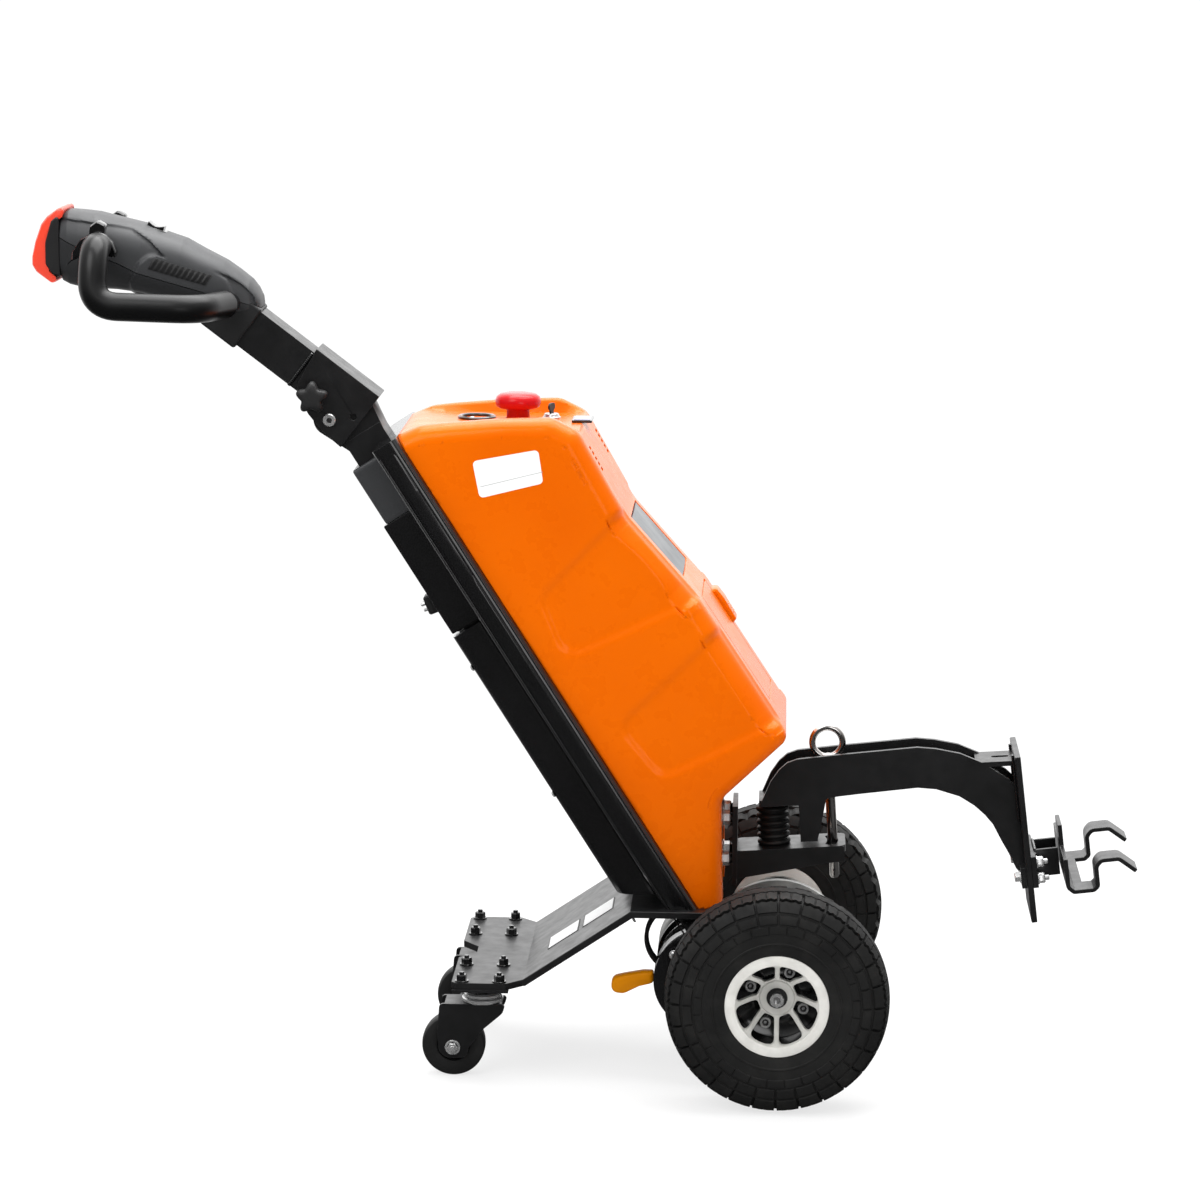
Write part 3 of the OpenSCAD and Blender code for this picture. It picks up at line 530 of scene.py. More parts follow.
def floor():
    """Pale floor that is white where it is seen and keeps the object's shadow close by."""
    mesh = bpy.data.meshes.new("floor")
    r = 90.0
    mesh.from_pydata([(-r, -r, 0), (r, -r, 0), (r, r, 0), (-r, r, 0)], [], [(0, 1, 2, 3)])
    f = Finish("pale_floor", Base_Color=(0.8, 0.8, 0.8, 1), Roughness=0.9, Specular_IOR_Level=0.0)
    away = f.add("VectorMath", {0: f.place}, "Value", operation="LENGTH")
    seen = f.math("MULTIPLY", f.range(away, (0.7, 1.0), (0.8, 2.2)), f.rays(*SEEN))
    behind = f.range(f.add("SeparateXYZ", {0: f.place}, "Y"), (0.08, 1.0), (0.4, 1.5))
    dim = f.add("Emission", {"Color": WHITE, "Strength": behind})
    glow = f.add("Emission", {"Color": WHITE, "Strength": 1.05})
    lit = f.add("MixShader", {0: f.rays("Is Glossy Ray"), 1: f.shader.outputs[0], 2: dim})
    both = f.add("MixShader", {0: seen, 1: lit, 2: glow})
    f.set(f.tree.nodes["Material Output"], {"Surface": both})
    mesh.materials.append(f.material)
    stand("floor", mesh)


# ---- Hood ----
# In the MAST frame X is the distance out from the mast's foot line and Z runs up along the mast.

HOOD_HALF = 113.0
HOOD_BACK = 33.5
FRONT = 190.0  # only the hood's front face lies farther out than this
PANEL_DEPTH = 3.2
HOOD_EDGE = [(26, 160, 0), (124, 321, 22), (232, 342, 15), (229, 530, 80), (208, 660, 70),
             (214, 776, 26), (196, 806, 26), (146, 836, 80), (85, 868, 60), (60, 880, 40),
             (33.5, 884, 0), (10, 887.5, 0)]
PANELS = [[(262, 683, 0), (74, 637, 18), (61, 561, 20), (262, 535, 0)],
          [(262, 499, 0), (70, 460, 18), (81, 381, 20), (262, 363, 0)]]
SLOTS = [(s, s + 3) for s in (722, 729, 736, 743, 750)]
TO_FLOOR = spin(mast_lean)
TO_MAST = TO_FLOOR.inverted()


def inside_depth(outlines, points):
    """How far points lie inside the nearest of some closed outlines, negative outside."""
    best = np.full(len(points), -1e9)
    for outline in outlines:
        a = np.array([tuple(p) for p in outline])
        b = np.roll(a, -1, axis=0)
        d = b - a
        t = ((points[:, None] - a) * d).sum(2) / (d * d).sum(1)
        away = np.linalg.norm(points[:, None] - (a + np.clip(t, 0, 1)[..., None] * d), axis=2)
        crosses = (a[:, 1] > points[:, None, 1]) != (b[:, 1] > points[:, None, 1])
        at_x = a[:, 0] + (points[:, None, 1] - a[:, 1]) * d[:, 0] / np.where(d[:, 1], d[:, 1], 1)
        odd = (crosses & (points[:, None, 0] < at_x)).sum(1) % 2 == 1
        best = np.maximum(best, np.where(odd, 1, -1) * away.min(1))
    return best


def smooth(value, low, high):
    t = np.clip((value - low) / (high - low), 0, 1)
    return t * t * (3 - 2 * t)


def with_heights(path, heights):
    """The path with a point added wherever its front run passes one of the heights."""
    out = [path[0]]
    for a, b in zip(path, path[1:]):
        found = [(h - a.y) / (b.y - a.y) for h in heights
                 if min(a.x, b.x) > FRONT and min(a.y, b.y) < h < max(a.y, b.y)]
        out += [a.lerp(b, t) for t in sorted(found)] + [b]
    return out


def dished(point):
    """Lowers the middle of the hood's top to the level plane that the controls stand on."""
    spot = TO_FLOOR @ Vector(point)
    above = spot.z - DISH_Z
    if above > 0 and spot.x < -200:
        spot.z -= above * (1 - smooth(abs(point[1]), 76, 84))
        return tuple(TO_MAST @ spot)
    return point


def pressed(p, y, cut):
    """Depth at a point of the front or top: window, lid seam, vent slots and side panels."""
    away, deep = abs(y), 0.0
    if p.x > FRONT:
        across_seam = 384 < p.y < 532 and abs(away - 60) < 0.5
        along_seam = away < 60.5 and min(abs(p.y - 385), abs(p.y - 531.4)) < 0.5
        in_slot = 66.5 < away < 81.5 and any(a - 0.2 < p.y < b + 0.2 for a, b in SLOTS)
        if in_slot or (564 < p.y < 656 and away < 63):
            deep = 3.0
        elif across_seam or along_seam:
            deep = 2.4
    return deep + PANEL_DEPTH * cut * smooth(away, 80, 88)


def hood():
    """Front and top as one strip, a rounded edge and a flat side each way, cut at tray and deck."""
    part = Part(MAST)
    lines = [563, 565, 655, 657, 383.6, 385, 386.4, 530.0, 531.4, 532.8]
    lines += [h for low, high in SLOTS for h in (low - 0.5, low, high, high + 0.5)]
    path = with_heights(even(bend(HOOD_EDGE, step=2), 4), lines)
    normals = inward(path)
    for _ in range(4):
        normals = [(a + b + c).normalized() for a, b, c in zip(
            normals[:1] + normals[:-1], normals, normals[1:] + normals[-1:])]
    radius = [21 if p.y > 640 else 24 if p.x > 222 and p.y > 360 else 15 for p in path]
    for _ in range(12):
        inner = [(a + b + c) / 3 for a, b, c in zip(radius, radius[1:], radius[2:])]
        radius = radius[:1] + inner + radius[-1:]
    panels = [loop(p) for p in PANELS]
    cuts = smooth(inside_depth(panels, np.array([tuple(p) for p in path])), -5, 4)
    columns = [0, 7, 14, 21, 28, 35, 42, 50, 58.6, 60, 61.4, 62, 64, 66, 67, 75, 81, 82, 86]
    rows = []
    for p, n, cut in zip(path, normals, cuts):
        depths = [(y, pressed(p, y, cut)) for y in [-c for c in columns[:0:-1]] + columns]
        rows.append([dished((p.x + n.x * deep, y, p.y + n.y * deep)) for y, deep in depths])
    part.grid(rows)
    for side, end in ((-1, 0), (1, -1)):
        edge = [[row[end]] for row in rows]
        for row, p, n, r, cut in zip(edge, path, normals, radius, cuts):
            for a in (math.radians(11.25 * k) for k in range(9)):
                deep = cut * (PANEL_DEPTH + 2.6 * math.sin(2 * a))
                move = r * (1 - math.cos(a)) + deep * math.cos(a) + 1.4 * cut * math.sin(a)
                y = HOOD_HALF - r + (r - deep) * math.sin(a)
                row.append((p.x + n.x * move, side * y, p.y + n.y * move))
        part.grid(edge)
        rim_line = [edge[0][-1]]
        for *_, spot in edge[1:-1]:
            if math.dist(spot, rim_line[-1]) > 2.2 and spot[2] - rim_line[-1][2] > 0.1:
                rim_line.append(spot)
        rim_line.append(edge[-1][-1])
        flat = [[(16 + (x - 16) * k / 46, z) for k in range(47)] for x, _, z in rim_line]
        depth = smooth(inside_depth(panels, np.array(sum(flat, []))), -5, 4).reshape(len(flat), -1)
        part.grid([[(x, side * (HOOD_HALF - PANEL_DEPTH * d), z) for (x, z), d in zip(row, line)]
                   for row, line in zip(flat, depth)])
    bm = part.bm
    bmesh.ops.remove_doubles(bm, verts=bm.verts, dist=0.02)
    foot, down = TO_MAST @ Vector((0, 0, DECK_Z)), TO_MAST @ Vector((0, 0, -1))
    for point, normal in (((HOOD_BACK, 0, 0), (-1, 0, 0)), (foot, down)):
        bmesh.ops.bisect_plane(bm, geom=bm.verts[:] + bm.edges[:] + bm.faces[:], dist=0.01,
                               plane_co=point, plane_no=normal, clear_outer=True)
    opening = []
    for face in bm.faces:
        spot = face.calc_center_median()
        if abs(spot.y) < 42 and (TO_FLOOR @ spot).z < 340:
            opening.append(face)
        in_slot = 67 < abs(spot.y) < 81 and any(a < spot.z < b for a, b in SLOTS)
        # The floor of each vent slot takes the matt black paint: painted shade for the dark inside of the vent
        # openings.
        face.material_index = int(spot.x > FRONT and in_slot)
    bmesh.ops.delete(bm, geom=opening, context="FACES")
    obj = part.done("hood_shell", "orange matt_black", "frame", "hood", sharp=38)
    thicken(obj, 0.0032, -1)
    low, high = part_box("battery")
    middle = low.lerp(high, 0.5)
    if sum((f.center - middle).dot(f.normal) for f in obj.data.polygons) < 0:
        obj.data.flip_normals()


def front_at(s):
    """How far out the hood's front face is at a height along the mast."""
    path = bend(HOOD_EDGE, step=7)
    a, b = next((a, b) for a, b in zip(path, path[1:])
                if min(a.x, b.x) > FRONT and min(a.y, b.y) <= s <= max(a.y, b.y))
    return a.lerp(b, (s - a.y) / (b.y - a.y)).x


def hood_fittings():
    pane = Part(MAST)
    pane.slab(*([[(front_at(s) + depth + crown * (1 - (y / 61.5) ** 2), y, s)
                  for y in np.linspace(-61.4, 61.4, 13)] for s in np.linspace(565.6, 654.4, 15)]
                for depth, crown in ((-2.6, 0), (-0.8, 0.9))))
    pane.done("window_pane", "window", "frame", "hood_window", sharp=40)

    latch = Part(MAST @ shift(front_at(492) - 1, 0, 0))
    profile = bend([(0, 467, 0), (7.6, 470, 3), (8.2, 500, 6), (6.5, 514, 4), (0, 517, 0)], step=15)
    latch.cushion(profile, 60, 92, ((0, 0.55, 0.9), (2, 0.92, 0.98), (5, 1)), (0, 492))
    for s in (478, 484, 490):
        latch.tube([(7.9, 67, s), (8.3, 76, s), (7.9, 85, s)], 0.8, 8)
    latch.done("lid_latch", "orange", "frame", "hood_latch", sharp=35)

    label = Part(MAST)
    corners = [(93, 814, 5), (165, 785, 5), (149, 749, 5), (77, 773, 5)]
    label.prism(loop(corners, 20), -HOOD_HALF - 0.35, -HOOD_HALF + 0.4)
    label.prism([(85.0, 784.2), (155.4, 760.9), (155.2, 760.2), (84.8, 783.5)],
                -HOOD_HALF - 0.45, -HOOD_HALF, paint=1)
    label.done("blank_side_label", "label divider", "frame")


# ---- Drive wheels ----

TYRE_SIDE = [(0, 130), (12, 129.5), (22, 128), (29, 125.8), (33, 122.5), (36, 117.5), (38.6, 111),
             (40.4, 104), (41.6, 96), (42, 88), (41.4, 80), (40, 72), (38.2, 64), (36.5, 60),
             (34, 56.5), (30.5, 54.8)]
PITCHES = 28
# rows round the tyre: distance from the crown along the section, and height of the rubber
TYRE_ROWS = sorted((t, height, kind) for kind, rows in (
    ("rib", [(0, 0)]),
    ("zig", [(9, 0), (9.8, -3.6), (12.2, -3.6), (13, 0), (29, 0), (29.8, -3.8), (32.6, -3.8),
             (33.4, 0)]),
    ("block", [(21, 0), (39, 0), (46, 0)]),
    ("lug", [(50.2, -0.2), (55, 0), (60, -0.3)]),
    ("small", [(63.3, -0.7), (68, -0.6), (72, -0.9)]),
    ("base", [(46.9, -2), (49.4, -2), (60.8, -1.8), (62.6, -1.8), (72.8, -1.6), (79, -1.2),
              (83.2, -0.9), (84, -0.1), (85.4, -0.1), (86.2, -0.9), (92, -0.6), (97, 0),
              (101, 0.3), (104, 0), (107.4, 0)])) for t, height in rows)


def tread_height(t, height, kind, a):
    """Height of the rubber at a place of a pitch, where a groove may cross the row."""
    seam, sipe = min(a, 1 - a) < 0.05, abs(a - 0.5) < 0.03
    if seam and t > 9.5 and kind in ("zig", "block"):
        return -3.8
    if seam and kind == "lug":
        return -2.0
    if sipe and kind == "small":
        return -1.7
    return -2.6 if sipe and kind == "block" and t < 25 else height


def tyre(part, at):
    widths, radii = zip(*TYRE_SIDE)
    lengths = [0.0]
    for a, b in zip(TYRE_SIDE, TYRE_SIDE[1:]):
        lengths.append(lengths[-1] + math.dist(a, b))
    turns = [p + a for p in range(PITCHES) for a in (
        0.035, 0.065, 0.17, 0.31, 0.455, 0.48, 0.52, 0.545, 0.69, 0.83, 0.935, 0.965)]

    def section(t):
        y, r = (float(np.interp(abs(t), lengths, values)) for values in (widths, radii))
        return Vector((math.copysign(y, t), r))

    def ring(r, y, turn):
        angle = 2 * math.pi * turn / PITCHES
        return r * math.cos(angle), r * math.sin(angle), y

    rows = []
    for side in (1, -1):
        for t, height, kind in (TYRE_ROWS[1:] if side < 0 else TYRE_ROWS[::-1]):
            rows.append([])
            for turn in turns:
                a = (turn + 0.5 * (side < 0 and t < 30)) % 1
                here = t + 1.3 * (1 - 4 * abs((a * 3) % 1 - 0.5)) * (kind == "zig")
                ahead = section(here + 1) - section(here - 1)
                out = Vector((-ahead.y, ahead.x)).normalized()
                spot = section(here) + out * tread_height(t, height, kind, a)
                rows[-1].append(ring(spot.y, side * spot.x, turn))
    rows += [[ring(53.5, y, turn) for turn in turns] for y in (-28.5, 28.5)]
    part.grid(rows, at, wrap=True, close=True)


def ray_to(outline, angle):
    """Where a ray from the origin meets a closed outline round it."""
    d = Vector((math.cos(angle), math.sin(angle)))
    hits = []
    for a, b in zip(outline, outline[1:] + outline[:1]):
        e = b - a
        cross = d.x * e.y - d.y * e.x
        if abs(cross) > 1e-9 and -1e-6 <= (a.x * d.y - a.y * d.x) / cross <= 1 + 1e-6:
            hits.append((a.x * e.y - a.y * e.x) / cross)
    return d * max(hits)


def rim(part, at):
    """Deeply dished rim of eight spokes. Z runs outwards; paint 0 polished, 1 black, 2 bright."""
    for profile in ([(47.4, 30), (47.4, 35.4), (48.2, 37.2), (49.8, 38), (57.4, 38), (59.6, 37.3),
                     (60.5, 35.6), (60.5, 33.4), (57, 31.8), (54.6, 29), (54, 22), (50.5, 22),
                     (49.5, 28)],
                    [(43, -30), (46.5, -37.4), (57.4, -38), (60.5, -35.6), (60.5, -33.4),
                     (54.6, -29), (54, -22), (50, -22)]):
        part.lathe(profile, 96, at)
    part.lathe(mirrored([(50.2, -23), (54, -23)]), 96, at, 1)
    part.lathe([(9.6, -1.6), (10.6, -0.4), (19.3, -0.4), (20.8, -1.8), (21.2, -14), (9.6, -14)],
               64, at)
    for middle in np.arange(112.5, 450, 45):
        centre = Vector(polar(36, middle))
        corners = [(*polar(r, middle + d), corner) for r, d, corner in (
            (23.4, -15.2, 3.2), (46.6, -19.1, 7), (48.6, -8, 30), (48.6, 8, 30), (46.6, 19.1, 7),
            (23.4, 15.2, 3.2), (22.4, 0, 20))]
        window = [q - centre for q in even(loop(corners, 14), 4, closed=True)]
        border = [Vector(polar(r, middle + d)) - centre for r, turn in ((49.4, 22.5), (19.5, -22.5))
                  for d in np.linspace(-turn, turn, 9)]
        angles = sorted({math.atan2(q.y, q.x) for q in window + [border[i] for i in (0, 8, 9, 17)]})

        def row(outline, drop, grow=0.0):
            """Points round an outline, on the dish of the spokes or below it."""
            out = []
            for q in (ray_to(outline, a) for a in angles):
                q = centre + q + q.normalized() * grow
                z = np.interp(q.length, [20, 23, 30, 44, 47, 49], [-2.6, -1.4, 5, 28.5, 34.5, 36.4])
                out.append((q.x, q.y, float(z) - drop))
            return out

        part.grid([row(border, 0), row(window, 0, 1.3), row(window, 0.5, 0.45),
                   row(window, 1.5), row(window, 9, 0.2)], at, wrap=True)
        part.grid([row(border, 9), row(window, 9, 0.2)], at, wrap=True)
    part.lathe([(49.8, -22), (49.8, -12), (44, -14.5), (30, -15.5), (24, -14), (21, -11), (10, -11),
                (10, -24)], 64, at, 1)
    for clock in (25, 113, 203, 292):
        nut = at @ shift(*polar(33.2, 90 - clock), -15)
        part.solid([(6.6, 0), (6.6, 12), (5.9, 12.8), (4.6, 12.8), (4, 12.2), (4, 7)], 28, nut, 2)
        part.lathe([(3.9, 7.2), (3.9, 10), (2.1, 10), (2.1, 7.2)], 6, nut, 1)
    for clock in (62, 85, 150, 248, 330):
        part.bolt(at @ shift(*polar(36, 90 - clock), -15.5), 6, 4, 4.5, 1, 1)


def shaft(part, at):
    """Half shaft with its bearing, seen in the hub, out to a bored end."""
    part.solid([(11, 60.5 - HALF_TRACK), (11, -12), (8.9, -12), (8.9, 3), (8.2, 4.4), (8.2, 11.2),
                (7.4, 12), (4.8, 12), (4, 11.2), (4, 4)], 48, at)
    part.lathe([(8.2, -8), (8.6, -4), (11.4, -4), (12.2, -5), (12.2, -8)], 48, at)
    part.lathe([(8, -1), (11.6, -1), (12.2, -0.2), (11.6, 0.6), (8, 0.6)], 48, at, 1)
    part.lathe([(8.1, 6.4), (9.9, 6.4), (10.3, 7), (9.9, 7.6), (8.1, 7.6)], 48, at, 1)


def drive_wheels():
    for name, side in SIDES.items():
        for build, piece, paints, slot, node, sharp in (
                (tyre, "_tyre_tread", "tyre", "tyre_rubber", "_tyre", 28),
                (rim, "_spoked_rim", "rim gloss_black bright", "rim_metal", "_rim", 35),
                (shaft, "_shaft_end", "bright matt_black", "bright_steel", "_half_shaft", 30)):
            part = Part(FLOOR)
            build(part, on_axis(0, side * HALF_TRACK, AXLE_Z, side))
            part.done(name + piece, paints, name + "_drive_wheel", name + node, sharp=sharp)


# ---- Base plate fittings and casters ----

def casters():
    for name, side in SIDES.items():
        swivel_x, swivel_y, _ = JOINTS[name + "_caster_swivel"]["pos_m"]
        wheel_x, _, wheel_z = JOINTS[name + "_caster_roll"]["pos_m"]
        fork = Part(place((swivel_x, swivel_y, 0)))
        cheek = loop([(-50, 90.5, 5), (28, 90.5, 3), (25, 80, 10), (2, 60, 18), (-15, 38, 12),
                      (-18, 24.6, 14), (-51, 24.6, 15), (-52, 60, 20)], 12)
        for low, high in ((-21, -17), (17, 21)):
            fork.prism(cheek, low, high)
        web = bend([(-44, 90.5, 0), (24, 90.5, 5), (22, 78, 12), (1, 59, 18), (-13, 41, 0)],
                   step=10)[::-1]
        fork.prism(web + [p + n * 3.4 for p, n in zip(web, inward(web))][::-1], -18, 18)
        for profile in ([(2, 90), (23, 90), (24.5, 91.2), (24.5, 94.5), (23, 95.6), (2, 95.6)],
                        [(2, 95), (19.5, 95), (22, 96.8), (22, 99.6), (19.5, 101.4), (2, 101.4)]):
            fork.lathe(profile, 56, paint=1)
        for end in (-1, 1):
            nut = on_axis((wheel_x - swivel_x) / MM, 21 * end, wheel_z / MM, end)
            fork.solid([(8.6, 0), (9.2, 0.6), (8.6, 1.6)], 28, nut, 1)
            fork.bolt(nut, 11, 3.4, 7, 1, 1)
            fork.stud(nut, 3.2, 4.5, 6.2, 20, 1)
        fork.done(name + "_caster_yoke", "powder bright", name + "_caster",
                  name + "_caster_fork", bevel=0.7)

        wheel = Part(place((wheel_x, swivel_y, wheel_z)))
        at = on_axis(0, 0, 0, side)
        wheel.lathe(mirrored([(18.6, -10.6), (19.6, -12.2), (22, -12.9), (31, -12.8), (35.4, -11.6),
                              (37.1, -8.6), (37.5, -4)]), 72, at)
        wheel.lathe(mirrored([(5, -13), (9, -13), (10, -11.4), (17.4, -9.6), (18.8, -10.4)]),
                    56, at, 1)
        wheel.lathe(mirrored([(5.0, -16.6), (6.8, -16.6)]), 28, at, 2)
        wheel.done(name + "_caster_roller_wheel", "caster gloss_black bright",
                   name + "_caster_roller", name + "_caster_wheel")


def base_fittings():
    bolts = Part(FLOOR)
    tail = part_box("base_plate")[0].z / MM + 8
    for name in SIDES:
        x, y, _ = JOINTS[name + "_caster_swivel"]["pos_m"]
        for dx in (-22, 22):
            for dy in (-37, 37):
                spot = shift((x - axle_x) / MM + dx, y / MM + dy, tail)
                bolts.bolt(spot @ Matrix.Rotation(0.3 * dx + dy, 4, "Z"), 11, 7, 8.4)
                bolts.stud(spot, 3, 8, 11)
    bolts.done("tail_bolts", "gloss_black", "frame")

    plates = Part(FLOOR)
    (foot_x, foot_z), (head_x, head_z) = RAMP_FOOT, RAMP_HEAD
    ramp = shift(foot_x, 0, foot_z) @ spin(-slope(head_x - foot_x, head_z - foot_z))
    for low, high in ((30, 74), (80, 124)):
        plates.box((low, -58, -0.4), (high, -6, 0.5), ramp)
        plates.box((low + 1.4, -56.6, 0.2), (high - 1.4, -7.4, 0.75), ramp, 1)
    plates.done("ramp_blank_plates", "matt_black label", "frame", bevel=0.2, sharp=32)


# ---- Mast, tray and charger plug ----

def mast_fittings():
    rails = Part(MAST)
    for side in (-1, 1):
        rails.tower([[(n, side * (121.5 + d * grow), s) for n, d in (
            (8, 0), (9, 1.0), (12, 1.3), (20, 1.3), (23, 1.0), (24, 0))] for s, grow in (
                (196, 0.2), (200, 1), (690, 1), (705, 2.2), (818, 2.2), (826, 1), (872, 0.4))])
        for n, y, low, high, radius in ((28.6, 121.4, 205, 868, 1.3), (4.2, 121.2, 200, 872, 1.1)):
            rails.tube(even([Vector((n, side * y, s)) for s in (low, high)], 40), radius, 10)
    rails.done("tray_side_rails", "gloss_black", "frame", sharp=40)

    screws = Part(MAST)
    for s in (240, 420, 600):
        for y in (-42, 42):
            screws.lathe([(0.1, 0), (4, 0), (3.7, 1.4), (2.6, 2), (0.1, 2.1)], 24,
                         along_x(-49.8, y, s, -1))
    screws.done("back_cover_screws", "bright", "frame")

    low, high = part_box("charger_plug")
    plug = Part(place((low + high) / 2, mast_lean + 10))
    profile = loop([(-12.6, -11.6, 3), (12.4, -11.6, 3), (12.4, 11.6, 3), (-12.6, 11.6, 3)], 15)
    plug.cushion(profile, -12.6, 12.6, ((0, 0.86), (1, 0.96), (2.6, 1)))
    for k in range(5):
        plug.box((-8 + 4 * k, -13.2, -9), (-6 + 4 * k, 13.2, 9))
    for y, z in ((-6, 3), (6, 3), (0, -5)):
        plug.tube([(-12, y, z), (-17.4, y, z), (-18.2, y, z)], [2.1, 2.1, 1.4], 16, paint=1)
    plug.done("charger_plug_body", "matt_black bright", "frame", "charger_plug",
              sharp=35)


def top_controls():
    socket = Part(FLOOR @ shift(-366, 18, DISH_Z))
    socket.lathe([(17.2, -2), (17.2, 2), (18, 3.2), (21, 3.8), (23, 2.6), (23, 0), (23, -2)], 64)
    socket.solid([(17.4, -6), (17.4, -2), (17.2, 0), (16.6, 0), (16.6, -4.4)])
    for x, y in ((-6, -5), (-6, 5), (6, 0)):
        socket.solid([(2.6, -4.5), (2.6, 0.5), (1.8, 1)], 20, shift(x, y, 0), 1)
    socket.done("charge_socket_ring", "gloss_black bright", "frame", "charge_socket")

    stop = Part(FLOOR @ shift(-316, 0, DISH_Z))
    stop.lathe([(0.1, 0), (13.6, 0), (14, 0.6), (13.6, 14), (15, 15.6), (22, 15.2), (25.6, 17.4),
                (27, 21), (27, 25), (25.4, 29), (21.6, 31.8), (16, 33), (8, 33.6), (0.1, 33.8)], 72)
    stop.lathe([(13.8, 0), (16.4, 0), (16.4, 2.4), (15.6, 3.2), (13.8, 3.2)], 56, paint=1)
    stop.done("emergency_stop_button", "red matt_black", "frame", "emergency_stop",
              sharp=40)

    key = Part(FLOOR @ shift(-278, 26, DISH_Z))
    key.solid([(11, 0), (11, 1.6), (9.6, 3), (8.6, 5.4), (7.6, 6)])
    key.prism(loop([(-4, 3, 1), (-4, 9, 2), (-9, 12, 4), (-7, 18, 5), (7, 18, 5), (9, 12, 4),
                    (4, 9, 2), (4, 3, 1)], 20), -1.1, 1.1, spin(70, "Z"), 1)
    key.done("key_and_lock", "bright matt_black", "frame", "key_switch")

    screen = Part(FLOOR @ shift(0, 0, DISH_Z))
    screen.box((-252, -14, 0), (-228, 26, 3.2))
    screen.box((-249.6, -11.4, 1), (-230.4, 23.4, 3.8), paint=1)
    screen.done("battery_display_screen", "gloss_black display", "frame",
                "battery_display", bevel=0.6, sharp=32)


# ---- Tiller head, grips and fold joint ----

# distance behind the fold bolt, lowest, highest, half width
HEAD = [(-317, 164, 236, 40), (-314, 158, 240, 46), (-306, 154, 242, 50), (-292, 151, 241, 54),
        (-274, 150, 239, 57), (-250, 149, 233, 58), (-219, 145, 226, 56), (-200, 140, 218, 53),
        (-172, 132, 209, 49), (-150, 127, 197, 45), (-124, 120, 184, 40), (-108, 116, 173, 37),
        (-94, 114, 162, 34), (-87, 117, 153, 30), (-82.5, 121, 144, 24), (-81, 126, 137, 16)]
SHOULDER = [(-330, 236), (-298, 232), (-262, 228), (-246, 226), (-230, 223), (-218, 216),
            (-208, 209), (-198, 199), (-188, 189), (-174, 184), (-158, 179), (-138, 175),
            (-118, 168), (-102, 158), (-90, 146), (-85, 132), (-70, 110)]
SPLIT = [(-330, 219), (-300, 204), (-245, 183), (-225, 173), (-60, 124)]
FAIRING = [(-231, 149, 6), (-231, 161, 6), (-227, 170, 8), (-219, 184, 8), (-209, 192, 8),
           (-200, 193, 8), (-176, 186, 20), (-136, 175, 20), (-120, 165, 10), (-111, 147, 10),
           (-110, 131, 8), (-120, 122, 8)]
BUMPER = [(-309, 246.5, 3), (-318, 244.5, 5), (-331, 235, 8), (-338, 226, 8), (-345, 206, 20),
          (-349, 188, 10), (-349, 178, 5), (-344, 170, 5), (-326, 157, 4), (-318.5, 160, 2),
          (-328, 168, 4), (-334, 178, 6), (-334, 198, 10), (-328, 220, 6), (-319, 233, 4),
          (-312, 238, 2)]
PADDLE = [(-272, 229, 4), (-263, 235.5, 5), (-253, 230, 4), (-256, 219, 5), (-246, 210, 8),
          (-241.5, 199, 4), (-243.5, 190.5, 3), (-254, 197, 6), (-264, 205, 6), (-276, 203, 8),
          (-286, 191, 5), (-297, 187, 3), (-303.5, 180.5, 3), (-294.5, 188, 3), (-294, 198, 4),
          (-284, 213, 6), (-273, 219, 5)]


def along(table, x, column=1):
    return float(np.interp(x, [row[0] for row in table], [row[column] for row in table]))


def head_side(x, z):
    """Half width of the head at a height: full at the split, drawn in above and below."""
    low, high, half = (along(HEAD, x, k) for k in (1, 2, 3))
    middle = low + 0.45 * (high - low)
    t = (z - middle) / ((high if z > middle else low) - middle)
    return half * max(0.0, 1 - abs(t) ** 3.2) ** (1 / 2.6)


def head_shell(name, node, paint, upper):
    """One half of the head, with a shoulder line and a raised fairing on its sides."""
    part = Part(FOLD)
    fairing = loop(FAIRING)
    rows = []
    for x in sorted({row[0] for row in HEAD} | set(np.arange(-316, -81, 2.2))):
        low, high = along(HEAD, x), along(HEAD, x, 2)
        split = min(max(along(SPLIT, x), low + 1), high - 1)
        bottom, top = (split + 0.5, high) if upper else (low, split - 0.5)
        heights = bottom + (top - bottom) * (1 - np.cos(np.linspace(0, math.pi, 41))) / 2
        raised = smooth(inside_depth([fairing], np.array([(x, z) for z in heights])), -2.2, 1.2)
        edge = []
        for z, fair in zip(heights, raised):
            half = head_side(x, z)
            under = 1 - smooth(z - along(SHOULDER, x), -2.5, 1.5)
            hollow = smooth(z, low, low + 10) * min(1, half / 20)
            edge.append((max(half + 4.5 * under * (fair - hollow), 0.2), z))
        rows.append([(x, -y, z) for y, z in edge] + [(x, y, z) for y, z in edge[::-1]])
    part.tower(rows)
    part.done(name, paint, "tiller", node, sharp=40, weld=0.05)


